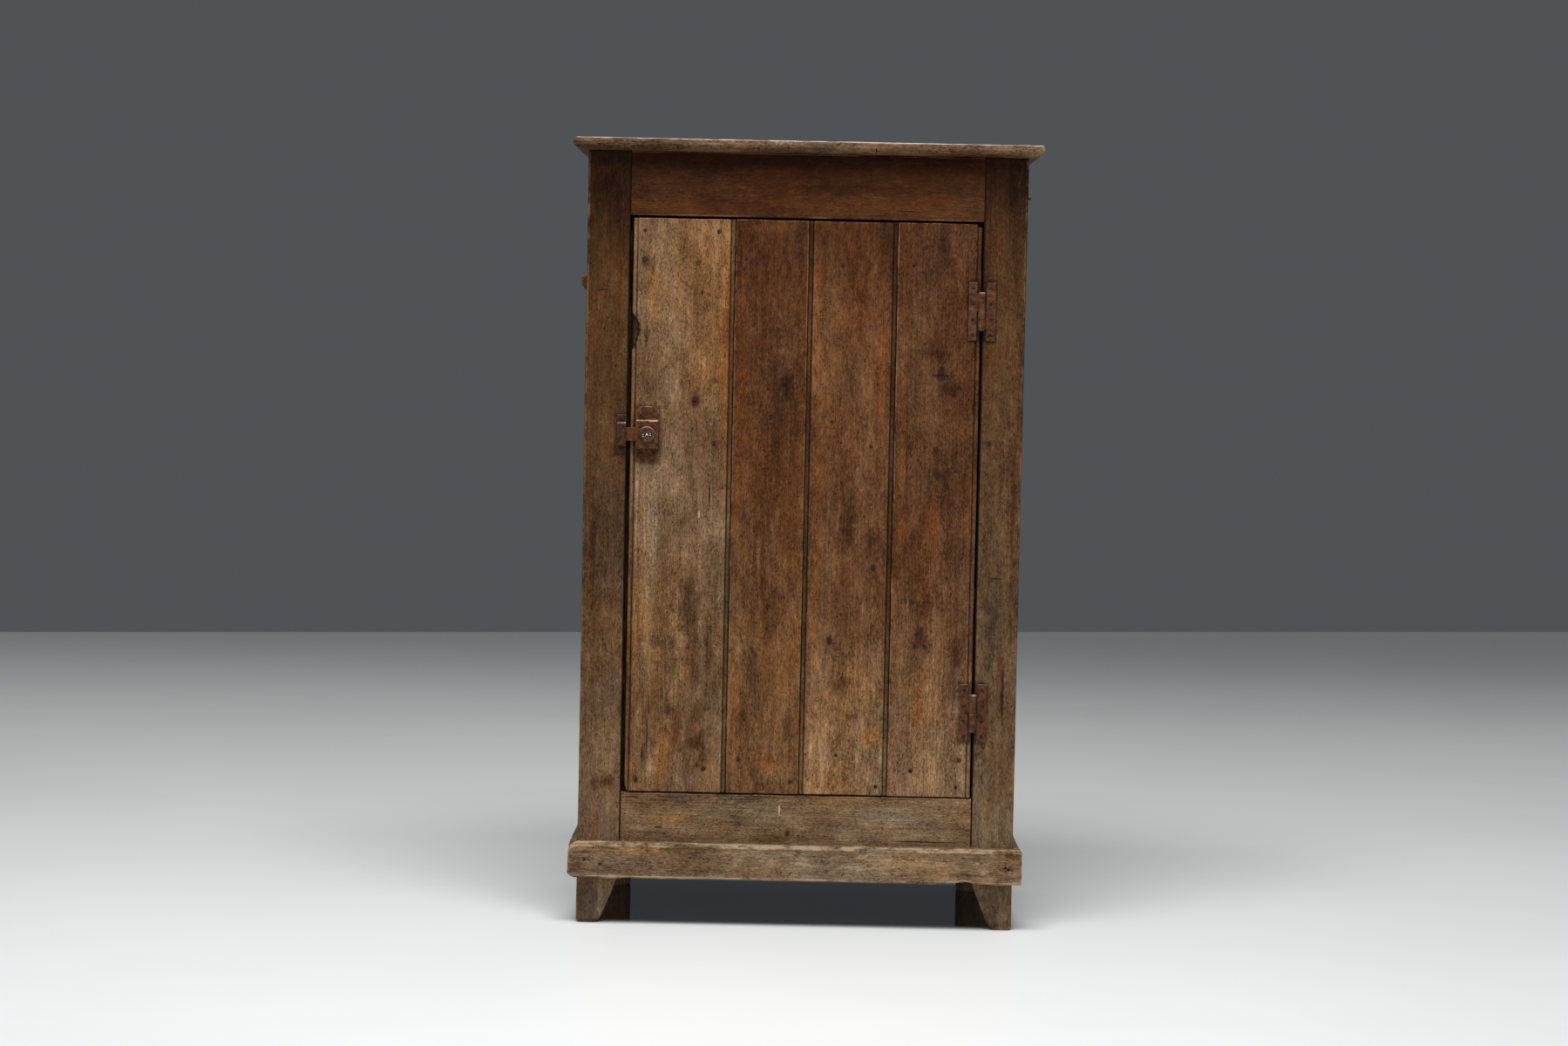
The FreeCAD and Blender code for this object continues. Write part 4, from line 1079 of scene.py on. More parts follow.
def front_plinth():
    """The board below the door, with a bevel above and a worn left end."""
    span_x, span_y, (low, high) = spans("front_plinth")
    front, back = span_y
    corners = [
        (front, low, 0.0028, 1.0),
        (back, low, 0.0008, 0.5),
        (back, high, 0.0008, 0.5),
        (front + plinth_bevel * 0.72, high, 0.0016, 0.9),
        (front, high - plinth_bevel, 0.0010, 0.9),
    ]
    # The bevel is painted pale all over: partly wear, partly a painted highlight where it faces up to the
    # light.
    outline = []
    for point, mark in rounded(corners, 0.003):
        on_bevel = point.x < front + plinth_bevel and point.y > high - plinth_bevel * 1.02
        outline.append((point, 0.9 if on_bevel else mark))

    def section(place):
        from_left = place - span_x[0]
        from_right = span_x[1] - place
        cut = plinth_round_drop * quarter(from_left / plinth_round_run)
        cut = max(cut, plinth_corner_drop * (1 - from_right / plinth_corner_run))
        lift = plinth_lift * max(1 - from_left / plinth_lift_run, 0.0) ** 2
        for middle, reach, depth in plinth_bites:
            lift += depth * math.exp(-((from_right - middle) / reach) ** 2)
        lowest, highest = low + lift, high - cut
        points = []
        for point, mark in outline:
            share = (point.y - low) / (high - low)
            points.append((Vector((point.x, lowest + (highest - lowest) * share)), mark))
        return points

    rows = stations(*span_x, 0.0022, [span_x[0] + 0.001 * step for step in range(4, 24, 2)], 0.008)
    return weather(sweep("worn_front_plinth", section, rows, "X"), "X", 5.3, 0.0004, 0.0019)


# Iron pieces: the construction's own shapes, made again with a finer skin and worn

curve_gain = 2.4
face_depth = 0.0005
nail_radius = 0.0029
nail_stand = 0.0006
slot_depth = 0.0009
slot_half_width = 0.0005
head_thickness = 0.0018
plug_radius = 0.0092
plug_spacing = 0.00030
rim_start = 0.80
rim_height = 0.0007
key_slot_half_width = 0.0009
key_slot_depth = 0.0024
post_radius = 0.0021
post_moat = 0.0030


def worn_copy(node, voxel, smoothing, roughing, seed, highlight_band=None):
    """A node's shape with its edges eased and its faces pitted. Faces that look up are painted pale as a
    highlight, and so is the highlight band: a bend that catches the light from above, given as the
    photograph's pixel column and the two pixel rows between which it lies."""
    piece = bpy.data.objects.new("worn_" + node, frame["nodes"][node].data.copy())
    bpy.context.scene.collection.objects.link(piece)
    weld = piece.modifiers.new("weld", "WELD")
    weld.merge_threshold = 0.00001
    remesh = piece.modifiers.new("remesh", "REMESH")
    remesh.mode = "VOXEL"
    remesh.voxel_size = voxel
    smooth = piece.modifiers.new("smooth", "SMOOTH")
    smooth.factor = 0.5
    smooth.iterations = smoothing
    evaluated = piece.evaluated_get(bpy.context.evaluated_depsgraph_get())
    made = bmesh.new()
    made.from_mesh(evaluated.to_mesh())
    evaluated.to_mesh_clear()
    bpy.data.objects.remove(piece)
    mark_curves(made, curve_gain)
    edge = made.verts.layers.float["edge"]
    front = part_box(node)[0].y
    band = None
    if highlight_band:
        column, upper_row, lower_row = highlight_band
        band = [at_pixel(column, row, front).z for row in (lower_row, upper_row)]
    for vertex in made.verts:
        # Faces that look up are painted pale, a painted highlight; so is the band, fully.
        wear_and_highlight = min(max((vertex.normal.z - 0.25) / 0.35, 0.0), 1.0)
        vertex[edge] = max(vertex[edge], 1.3 * wear_and_highlight)
        if band and band[0] < vertex.co.z < band[1] and vertex.co.y < front + 0.004:
            vertex[edge] = 1.5
        at = vertex.co * 1000
        wide = noise.noise(at * 0.35 + Vector((seed, 0, 0)))
        fine = noise.noise(at * 1.1 + Vector((0, seed, 0)))
        vertex.co = vertex.co + vertex.normal * ((wide + 0.5 * fine) * roughing)
    for face in made.faces:
        face.smooth = True
    return to_object("worn_" + node, made)


def mark_curves(made, gain):
    """Note at each point how much it stands out of its neighbours, or lies in below them."""
    edge, groove = skin_layers(made)[:2]
    made.normal_update()
    for vertex in made.verts:
        total = 0.0
        for link in vertex.link_edges:
            other = link.other_vert(vertex)
            total += vertex.normal.dot((vertex.co - other.co).normalized())
        curve = total / max(len(vertex.link_edges), 1) * gain
        vertex[edge] = min(max(curve, 0.0), 1.0)
        vertex[groove] = min(max(-curve, 0.0), 1.0)


def islands(node):
    """The separate solids of a node, each as its list of points."""
    made = bmesh.new()
    made.from_mesh(frame["nodes"][node].data)
    bmesh.ops.remove_doubles(made, verts=made.verts, dist=0.00001)
    left = set(made.verts)
    groups = []
    for first in list(made.verts):
        if first not in left:
            continue
        left.discard(first)
        group = [first]
        for vertex in group:
            for link in vertex.link_edges:
                other = link.other_vert(vertex)
                if other in left:
                    left.discard(other)
                    group.append(other)
        groups.append([vertex.co.copy() for vertex in group])
    made.free()
    return groups


def head_and_direction(points):
    """The middle of a fastener's head, the way that it is driven, and its length."""
    low = Vector([min(point[axis] for point in points) for axis in range(3)])
    high = Vector([max(point[axis] for point in points) for axis in range(3)])
    axis = max(range(3), key=lambda number: high[number] - low[number])
    middle = (low + high) / 2

    def spread(end):
        near = [point for point in points if abs(point[axis] - end) < face_depth]
        if axis == 2:
            return max((point - middle).to_2d().length for point in near)
        beside = (axis + 1) % 3
        return max(abs(point[beside] - middle[beside]) for point in near)

    heads_low = spread(low[axis]) > spread(high[axis])
    head = middle.copy()
    head[axis] = low[axis] if heads_low else high[axis]
    direction = Vector((0, 0, 0))
    direction[axis] = 1.0 if heads_low else -1.0
    return head, direction, high[axis] - low[axis]


def lathe_into(made, profile, base, direction, sides, squash):
    """Turn a profile of (radius, depth) points about an axis, where it starts and ends. What squash
    gives for an angle stretches the radius there."""
    turn = direction.to_track_quat("Z", "Y").to_matrix()
    rings = []
    for radius, depth in profile:
        count = 1 if radius == 0 else sides
        ring = []
        for side in range(count):
            angle = 2 * math.pi * side / sides
            wide = radius * squash(angle)
            turned = turn @ Vector((wide * math.cos(angle), wide * math.sin(angle), depth))
            ring.append(made.verts.new(base + turned))
        rings.append(ring)
    for near, far in zip(rings, rings[1:]):
        for side in range(sides):
            following = (side + 1) % sides
            loop = [near[side % len(near)], near[following % len(near)]]
            loop += [far[following % len(far)], far[side % len(far)]]
            corners = list(dict.fromkeys(loop))
            if len(corners) > 2:
                made.faces.new(corners).smooth = True


def hammered_edge(number):
    """How much wider this nail's head is at each angle."""

    def squash(angle):
        return 1 + 0.16 * noise.noise(Vector((math.cos(angle) * 1.3, math.sin(angle) * 1.3, number * 3.1)))

    return squash


def nail_heads(node):
    """Hammered nails: a low uneven head that stands a little out of the wood, and its shank."""
    made = bmesh.new()
    for number, points in enumerate(islands(node)):
        head, direction, length = head_and_direction(points)
        radius = nail_radius + 0.0004 * noise.noise(Vector((number * 7.1, 0.4, 0)))
        profile = [(0, 0.0001), (radius * 0.55, 0.0), (radius * 0.86, 0.0002), (radius, 0.0008)]
        profile += [(radius * 0.8, 0.0018), (0.0012, 0.0028), (0.0009, length - 0.002), (0, length)]
        lathe_into(made, profile, head - direction * nail_stand, direction, 14, hammered_edge(number))
    bmesh.ops.recalc_face_normals(made, faces=made.faces)
    mark_curves(made, 1.2)
    return dress(to_object("hammered_" + node, made), nail_iron, "nail_iron", node)


def slotted_head(made, centre, radius, dome, turn):
    """A screw's head seen from the front, with a slot across it."""
    columns = [-1.0, -0.93, -0.78, -0.55, -0.3]
    inner = slot_half_width / radius
    shares = columns + [-inner * 1.35, -inner, -inner * 0.9, 0.0, inner * 0.9, inner, inner * 1.35]
    shares += [-share for share in reversed(columns)]
    rows = 10
    facing = Matrix.Rotation(turn, 3, "Y")
    grid = []
    for share in shares:
        half = math.sqrt(max(1 - share ** 2, 0.0))
        line = []
        for row in range(rows + 1):
            across = share * radius
            up = radius * half * (2 * row / rows - 1)
            out = dome * (1 - min((across ** 2 + up ** 2) / radius ** 2, 1.0))
            if abs(share) < inner * 0.95:
                out -= slot_depth
            line.append(made.verts.new(centre + facing @ Vector((across, -out, up))))
        grid.append(line)
    for near, far in zip(grid, grid[1:]):
        for row in range(rows):
            made.faces.new((near[row], near[row + 1], far[row + 1], far[row])).smooth = True
    rim = [grid[0][0]] + [line[0] for line in grid[1:]] + grid[-1][1:]
    rim += [line[-1] for line in reversed(grid[:-1])] + list(reversed(grid[0][1:-1]))
    under = [made.verts.new(vertex.co + Vector((0, head_thickness, 0))) for vertex in rim]
    for number in range(len(rim)):
        following = (number + 1) % len(rim)
        made.faces.new((rim[number], under[number], under[following], rim[following]))
    made.faces.new(under)


def screw_heads(node, radius, dome, sink):
    """Slotted screws, with heads of this size that lie this far behind the modelled ones."""
    made = bmesh.new()
    for number, points in enumerate(islands(node)):
        front = min(point.y for point in points)
        middle = sum((point for point in points), Vector()) / len(points)
        turn = math.pi * noise.noise(Vector((number * 5.7, 1.9, 0.3)))
        slotted_head(made, Vector((middle.x, front + sink, middle.z)), radius, dome, turn)
    bmesh.ops.remove_doubles(made, verts=made.verts, dist=0.000001)
    bmesh.ops.recalc_face_normals(made, faces=made.faces)
    mark_curves(made, 1.0)
    return dress(to_object("slotted_" + node, made), screw_iron, "screw_iron", node)


def plug_relief(across, up):
    """How far the plug's face stands out here, and how bright it is painted: the slot's worn lips, and
    the post's upper half as a painted highlight. It has a raised rim, a key slot whose edge is worn up,
    and a small post in a moat."""
    reach = math.hypot(across, up)
    wobble = 0.00035 * noise.noise(Vector((across * 420, up * 420, 4.2)))
    from_slot = abs(up + 0.0008 - 0.12 * across) - (key_slot_half_width + 0.5 * wobble)
    stand = wobble
    bright = 0.0
    if reach > plug_radius * rim_start:
        across_rim = min((reach / plug_radius - rim_start) / (1 - rim_start), 1.0)
        stand += rim_height * math.sin(math.pi * across_rim)
    if abs(across) < plug_radius * 0.86 and reach > 0.0026:
        if from_slot < 0:
            stand -= key_slot_depth
        elif from_slot < 0.0007 and noise.noise(Vector((across * 700, 1.7, 0))) > -0.15:
            stand += 0.0005
            bright = 0.9
    if reach < post_radius:
        stand += 0.0016 * math.sqrt(1 - (reach / post_radius) ** 2)
        # The post's upper half is painted brighter than its lower half: a painted highlight.
        bright = 1.0 if up > -0.0006 else 0.5
    elif reach < post_moat:
        stand -= 0.0018
    return stand, bright


def key_plug():
    """The lock's plug: a worn disc with a bright-edged key slot round a small post."""
    low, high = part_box("lock_plug")
    centre_x, centre_z = (low.x + high.x) / 2, (low.z + high.z) / 2
    made = bmesh.new()
    edge, groove = skin_layers(made)[:2]
    count = math.ceil(plug_radius / plug_spacing)
    grid = {}
    for column in range(-count, count + 1):
        for row in range(-count, count + 1):
            across, up = column * plug_spacing, row * plug_spacing
            if math.hypot(across, up) > plug_radius:
                continue
            stand, bright = plug_relief(across, up)
            vertex = made.verts.new((centre_x + across, low.y + 0.0004 - stand, centre_z + up))
            vertex[edge] = bright
            # The key slot and the moat are marked as groove and so painted dark: painted shade in the
            # recesses.
            vertex[groove] = 1.0 if stand < -0.001 else 0.0
            grid[column, row] = vertex
    for column, row in list(grid):
        corners = [(column, row), (column + 1, row), (column + 1, row + 1), (column, row + 1)]
        if all(corner in grid for corner in corners):
            made.faces.new([grid[corner] for corner in corners]).smooth = True
    rim = [link for link in made.edges if link.is_boundary]
    wall = bmesh.ops.extrude_edge_only(made, edges=rim)["geom"]
    for item in wall:
        if isinstance(item, bmesh.types.BMVert):
            item.co.y = high.y
    bmesh.ops.holes_fill(made, edges=[link for link in made.edges if link.is_boundary])
    bmesh.ops.recalc_face_normals(made, faces=made.faces)
    loose = [vertex for vertex in made.verts if not vertex.link_faces]
    bmesh.ops.delete(made, geom=loose, context="VERTS")
    return to_object("worn_lock_plug", made)


# The pieces


def nails_in(node, fasteners):
    """Where the heads of these fasteners lie on the front of a node."""
    low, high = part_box(node)
    heads = []
    for points in islands(fasteners):
        front = min(point.y for point in points)
        near = [point for point in points if point.y < front + face_depth]
        middle = sum(near, Vector()) / len(near)
        if abs(front - low.y) < 0.003 and low.x < middle.x < high.x and low.z < middle.z < high.z:
            heads.append(middle)
    return heads


def door_wood(number, lower, upper, **looks):
    """The wood of one of the door's boards, which is dark round its nails."""
    node = f"door_board_{number}"
    nails = nails_in(node, "door_nails")
    return wood(node, "Z", lower, upper, float(number), nails=nails, **looks)


door_woods = {
    1: door_wood(
        1, (0.150, 0.087, 0.044), (0.162, 0.090, 0.044), shade=(1.02, 1.20, 0.15), gradient=(0.15, 0.95),
        worms=0.80, pale=0.42, contrast=0.90, knots=((797, 461, 6.5), (806, 336, 3.2)), irons=("lock_case",),
        marks=(
            ("orange", 831, 420, 9, 260), ("orange", 748, 330, 12, 60), ("orange", 758, 870, 14, 60),
            ("smudge", 756, 738, 26, 9), ("dark", 820, 437, 14, 9), ("dark", 801, 301, 5, 5),
            ("crack", 814, 568, 1.3, 18), ("white", 802, 590, 1.0, 6), ("dark", 790, 690, 22, 60),
            ("grey", 752, 600, 20, 90), ("dark", 806, 858, 12, 30), ("hatch", 739, 380, 4, 16),
            ("dark", 742, 384, 5, 20), ("pale", 738, 392, 2, 12), ("pale", 728, 430, 3, 40),
            ("crack", 742, 842, 1.2, 28), ("dark", 783, 440, 6, 12), ("dark", 745, 445, 12, 16),
            ("pale", 803, 650, 3, 46), ("dark", 745, 300, 16, 14), ("red", 800, 830, 12, 50),
            ("pale", 729, 640, 2.4, 220), ("dark", 812, 745, 9, 50), ("grey", 762, 810, 14, 44),
            ("orange", 790, 770, 12, 40), ("pale", 743, 640, 17, 95), ("red", 775, 835, 18, 40),
            ("grey", 790, 893, 34, 12), ("pale", 745, 882, 10, 20), ("smudge", 798, 856, 24, 13),
            ("dark", 764, 815, 8, 16), ("dark", 738, 866, 5, 26), ("grey", 742, 750, 16, 70),
        ),
    ),
    2: door_wood(
        2, (0.142, 0.070, 0.029), (0.088, 0.037, 0.0150), shade=(0.98, 1.16, 0.60), gradient=(0.15, 0.95),
        worms=0.25, pale=0.22, contrast=0.95, knots=((884, 478, 2.0), (890, 509, 2.2)),
        marks=(
            ("smudge", 904, 441, 13, 22), ("pale", 855, 570, 2.0, 7), ("pale", 866, 590, 9, 1.4),
            ("orange", 850, 420, 7, 260), ("orange", 921, 420, 8, 200), ("pale", 880, 262, 34, 7),
            ("dark", 904, 441, 14, 22), ("red", 868, 320, 16, 60), ("pale", 870, 640, 3, 22),
            ("orange", 882, 876, 22, 15), ("dark", 884, 700, 20, 60), ("dark", 862, 770, 10, 46),
            ("pale", 900, 800, 10, 34), ("orange", 912, 742, 8, 50), ("dark", 850, 822, 14, 40),
            ("pale", 884, 886, 24, 14), ("smudge", 902, 832, 10, 24),
        ),
    ),
    3: door_wood(
        3, (0.242, 0.150, 0.080), (0.098, 0.043, 0.0175), shade=(0.98, 1.16, 0.74), gradient=(0.19, 0.59),
        worms=0.35, pale=0.30, contrast=1.0, knots=((1002, 652, 3.6), (952, 735, 4.2)),
        marks=(
            ("orange", 938, 330, 8, 90), ("orange", 936, 640, 6, 200), ("dark", 998, 620, 10, 26),
            ("dark", 978, 822, 13, 7), ("orange", 1000, 845, 22, 24), ("orange", 1012, 430, 8, 180),
            ("dark", 975, 600, 14, 60), ("red", 985, 330, 18, 80), ("pale", 990, 700, 3, 30),
            ("pale", 1008, 760, 14, 34), ("dark", 962, 785, 18, 26), ("grey", 945, 862, 12, 30),
            ("red", 1004, 880, 12, 14), ("dark", 986, 815, 10, 3.0), ("dark", 990, 819, 4, 5),
        ),
    ),
    4: door_wood(
        4, (0.194, 0.115, 0.062), (0.086, 0.037, 0.0160), shade=(1.00, 1.20, 0.40), gradient=(0.15, 0.75),
        worms=0.30, pale=0.28, contrast=1.05, knots=((1080, 431, 6.5), (1076, 546, 4.0)),
        irons=("upper_door_leaf", "lower_door_leaf"),
        marks=(
            ("orange", 1037, 480, 7, 330), ("grey", 1080, 433, 17, 22), ("dark", 1076, 404, 22, 14),
            ("crack", 1080, 431, 11, 2.6), ("crack", 1081, 428, 2.4, 10), ("dark", 1090, 447, 24, 12),
            ("dark", 1081, 286, 6, 12), ("grey", 1080, 400, 10, 14), ("grey", 1094, 270, 14, 16),
            ("dark", 1058, 735, 14, 30), ("red", 1062, 690, 20, 60), ("orange", 1070, 600, 14, 50),
            ("dark", 1096, 765, 10, 44), ("grey", 1076, 846, 20, 22), ("orange", 1052, 812, 9, 40),
            ("dim", 1040, 480, 6, 300),
        ),
    ),
}

left_post_wood = wood(
    "left_post", "Z", (0.113, 0.072, 0.042), (0.055, 0.024, 0.008), 5.0, gradient=(0.10, 1.06), worms=0.35,
    pale=0.28, contrast=0.9, shade=(1.02, 1.24, 0.88), irons=("keeper",),
    marks=(
        ("red", 690, 897, 24, 15), ("dark", 690, 897, 20, 12), ("crack", 692, 332, 8, 1.0),
        # Of these marks, the dark one at pixel (700, 215) is painted shadow under the top.
        ("dark", 700, 215, 20, 30), ("orange", 712, 330, 7, 60), ("dark", 680, 640, 6, 80),
        ("orange", 680, 950, 6, 60), ("hatch", 720, 405, 6, 44), ("dim", 682, 1034, 26, 40),
        ("pale", 690, 1046, 12, 10), ("dark", 677, 1056, 20, 4), ("dark", 705, 1028, 4, 12),
        ("dark", 664, 950, 3, 30),
    ),
)
right_post_wood = wood(
    "right_post", "Z", (0.125, 0.078, 0.042), (0.067, 0.031, 0.012), 6.0, gradient=(0.10, 1.02), worms=0.30,
    pale=0.22, contrast=0.85, shade=(1.10, 1.26, 0.95), knots=((1135, 510, 3.0),),
    irons=("upper_frame_leaf", "lower_frame_leaf"),
    marks=(
        ("crack", 1143, 664, 10, 1.3), ("crack", 1150, 795, 2.2, 40), ("dark", 1139, 853, 3, 3),
        # Of these marks, the dark one at pixel (1160, 215) is painted shadow under the top.
        ("dark", 1160, 215, 12, 36), ("orange", 1147, 270, 8, 26), ("red", 1147, 780, 6, 50),
        ("pale", 1126, 881, 3, 5), ("grey", 1150, 620, 18, 60), ("smudge", 1136, 720, 14, 70),
        ("orange", 1132, 925, 7, 40), ("dark", 1162, 600, 4, 180), ("dim", 1140, 1038, 26, 40),
        ("dark", 1142, 1062, 16, 4),
    ),
)
top_rail_wood = wood(
    "top_rail", "X", (0.057, 0.0215, 0.0060), (0.057, 0.0215, 0.0060), 7.0, worms=0.10, pale=0.08,
    contrast=0.75, dirt=0.5, shade=(1.17, 1.285, 0.95),
    marks=(
        # The two dark marks at pixel rows 193 and 215 are painted shadow under the top.
        ("crack", 1044, 243, 24, 0.9), ("dark", 810, 193, 60, 12), ("dark", 960, 215, 70, 12),
        ("red", 850, 235, 110, 12), ("orange", 1070, 230, 50, 9),
    ),
)
bottom_rail_wood = wood(
    "bottom_rail", "X", (0.155, 0.098, 0.054), (0.143, 0.088, 0.046), 8.0, worms=0.85, pale=0.4,
    contrast=0.88, knots=((903, 957, 3.8),),
    marks=(
        ("white", 894, 930, 1.4, 9), ("crack", 820, 911, 46, 1.3), ("crack", 850, 917, 30, 0.9),
        ("crack", 770, 914, 24, 0.9), ("crack", 940, 914, 40, 0.8), ("dark", 760, 918, 40, 3),
        ("crack", 755, 949, 5, 1.4), ("dark", 846, 946, 5, 4), ("orange", 770, 940, 40, 12),
        ("grey", 1020, 938, 80, 14), ("crack", 1060, 966, 50, 1.0), ("red", 910, 962, 60, 4),
        ("grey", 770, 955, 3, 2), ("dark", 850, 914, 150, 1.6), ("dark", 1030, 917, 60, 1.4),
        ("crack", 725, 914, 12, 1.2),
    ),
)
# Its pale edge colour, laid over the bevel, is partly wear and partly a painted highlight.
plinth_wood = wood(
    "front_plinth", "X", (0.150, 0.098, 0.058), (0.150, 0.098, 0.058), 9.0, worms=0.75, pale=0.40,
    contrast=0.93, plane_y=-0.2255, edge_colour=(0.34, 0.25, 0.155), edge_strength=0.85,
    marks=(
        ("smudge", 688, 991, 6, 4), ("crack", 688, 991, 3, 2), ("dark", 660, 990, 12, 12),
        ("red", 732, 1009, 42, 3), ("orange", 734, 1005, 38, 3), ("dark", 672, 977, 20, 3),
        ("smudge", 1157, 983, 5, 3.5), ("smudge", 1157, 997, 10, 4.5), ("crack", 1157, 998, 3, 2),
        ("dark", 1135, 995, 5, 4), ("dark", 1105, 985, 4, 3), ("dark", 948, 999, 4, 3),
        ("smudge", 1070, 990, 10, 8), ("dark", 668, 985, 16, 5), ("red", 665, 991, 14, 4),
        ("smudge", 800, 1000, 40, 6), ("red", 760, 1007, 30, 2.5), ("orange", 740, 975, 90, 8),
        ("grey", 1000, 976, 140, 6), ("crack", 777, 970, 6, 1.5), ("dark", 1120, 1004, 40, 4),
    ),
)
side_plinth_wood = wood(
    "side_plinth", "Y", (0.190, 0.130, 0.078), (0.190, 0.130, 0.078), 10.0, worms=0.7, pale=0.5,
)
# The top's pale edge colour is partly wear and partly a painted highlight on its lit front arris.
top_wood = wood(
    "top", "X", (0.092, 0.053, 0.028), (0.092, 0.053, 0.028), 11.0, worms=0.40, pale=0.45, contrast=1.35,
    edge_colour=(0.56, 0.48, 0.42), edge_strength=0.80, edge_least=0.34, dirt=0.85,
)
side_wood = wood("side", "Z", (0.150, 0.095, 0.052), (0.078, 0.038, 0.017), 12.0, worms=0.5, pale=0.35)
back_wood = wood("back", "Z", (0.150, 0.104, 0.064), (0.120, 0.076, 0.042), 13.0, worms=0.5, pale=0.4)
inner_wood = wood(
    "inside", "X", (0.200, 0.140, 0.086), (0.170, 0.112, 0.066), 14.0, worms=0.35, pale=0.35,
    edge_colour=(0.28, 0.19, 0.11),
)
bearer_wood = wood("bearer", "Y", (0.180, 0.122, 0.074), (0.160, 0.104, 0.060), 15.0, worms=0.3, pale=0.3)
# The door stop sits deep in the gap beside the door: its near-black colours are painted shade.
stop_shade_wood = wood("stop", "Z", (0.020, 0.012, 0.007), (0.013, 0.007, 0.004), 16.0, worms=0.3, pale=0.1)
ledge_wood = wood("ledge", "X", (0.180, 0.118, 0.068), (0.150, 0.092, 0.050), 17.0, worms=0.4, pale=0.35)

plug_metal = plug_brass("plug_metal")
# The last colour of each iron is laid on its worn edges and on its painted highlights.
hinge_iron = rust(
    "hinge_iron", 1.0, (0.016, 0.006, 0.0025), (0.066, 0.026, 0.011), (0.125, 0.054, 0.026),
    (0.26, 0.165, 0.120),
)
lock_iron = rust(
    "lock_iron", 2.0, (0.012, 0.004, 0.002), (0.056, 0.020, 0.008), (0.120, 0.050, 0.020),
    (0.40, 0.250, 0.175),
)
keeper_iron = rust(
    "keeper_iron", 6.0, (0.010, 0.004, 0.002), (0.034, 0.014, 0.006), (0.080, 0.036, 0.018),
    (0.26, 0.165, 0.120),
)
bolt_iron = rust(
    "bolt_iron", 3.0, (0.040, 0.012, 0.003), (0.080, 0.025, 0.006), (0.125, 0.043, 0.011),
    (0.15, 0.065, 0.025),
)
nail_iron = rust(
    "nail_iron", 4.0, (0.008, 0.004, 0.002), (0.024, 0.011, 0.006), (0.060, 0.028, 0.014),
    (0.06, 0.032, 0.018),
)
screw_iron = rust(
    "screw_iron", 5.0, (0.008, 0.0035, 0.002), (0.026, 0.011, 0.005), (0.070, 0.032, 0.016),
    (0.20, 0.125, 0.085),
)

for number, material in door_woods.items():
    dress(door_board(number), material, "door_wood", f"door_board_{number}")

for node, seed, tapers, material in (
    ("left_front_post", 11.0, True, left_post_wood),
    ("right_front_post", 12.0, True, right_post_wood),
    ("left_rear_post", 13.0, False, side_wood),
    ("right_rear_post", 14.0, False, side_wood),
):
    dress(post(node, seed, tapers), material, "frame_wood", node)


def between_posts(node, seed):
    """A rail without its tenons, from post to post."""
    span_x, span_y, span_z = spans(node)
    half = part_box("right_front_post")[0].x
    outline = rounded(box_corners(span_y, span_z, (0.0016,) * 4))
    rows = stations(-half + 0.0002, half - 0.0002, 0.0007)
    piece = sweep("worn_" + node, lambda place: outline, rows, "X", -0.8)
    return weather(piece, "X", seed, 0.00026, 0.0012)


for node, seed, material in (
    ("top_rail", 21.0, top_rail_wood),
    ("bottom_rail", 22.0, bottom_rail_wood),
    ("rear_top_rail", 23.0, inner_wood),
    ("rear_bottom_rail", 24.0, inner_wood),
):
    dress(between_posts(node, seed), material, "frame_wood", node)
dress(top_board("top_front_board", 31.0, True), top_wood, "top_wood", "top_front_board")
dress(top_board("top_rear_board", 32.0, False), top_wood, "top_wood", "top_rear_board")
dress(front_plinth(), plinth_wood, "plinth_wood", "front_plinth")
for node, seed, radii in (
    ("left_plinth", 41.0, (0.0025, 0.0008, 0.0008, 0.006)),
    ("right_plinth", 42.0, (0.0008, 0.0025, 0.006, 0.0008)),
):
    piece = plank(node, "Y", seed, radii, waviness=0.0004, knocks=0.0018)
    dress(piece, side_plinth_wood, "plinth_wood", node)


def wall_board(node, next_node, seed, outward, axis):
    """A tongued board of a wall along X (0) or Y (1), from its own edge to just short of the next."""
    low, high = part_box(node)
    thick = 1 - axis
    first, last = low[axis], high[axis]
    if next_node:
        next_low, next_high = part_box(next_node)
        if next_low[axis] > low[axis]:
            last = next_low[axis] - board_gap
        else:
            first, last = last, next_high[axis] + board_gap
    face, inner = (high[thick], low[thick]) if outward > 0 else (low[thick], high[thick])
    grooved = not node.endswith("_1")
    outline = board_outline(0.0, abs(last - first), 0.0, abs(inner - face), grooved, bool(next_node))
    turn = 1 if last > first else -1
    depth = 1 if inner > face else -1

    def section(place):
        points = []
        for point, mark in outline:
            run = first + turn * point.x
            into = face + depth * point.y
            points.append((Vector((into, run) if axis else (run, into)), mark))
        return points

    piece = sweep("worn_" + node, section, stations(low.z, high.z), "Z")
    return weather(piece, "Z", seed, 0.0003, 0.001)


for kind, count, seed, outward, axis, material in (
    ("left_side_board", 2, 46.0, -1, 1, side_wood),
    ("right_side_board", 2, 54.0, 1, 1, side_wood),
    ("back_board", 4, 60.0, 1, 0, back_wood),
):
    for number in range(1, count + 1):
        node = f"{kind}_{number}"
        following = f"{kind}_{number + 1}" if number < count else None
        dress(wall_board(node, following, seed + number, outward, axis), material, "side_wood", node)

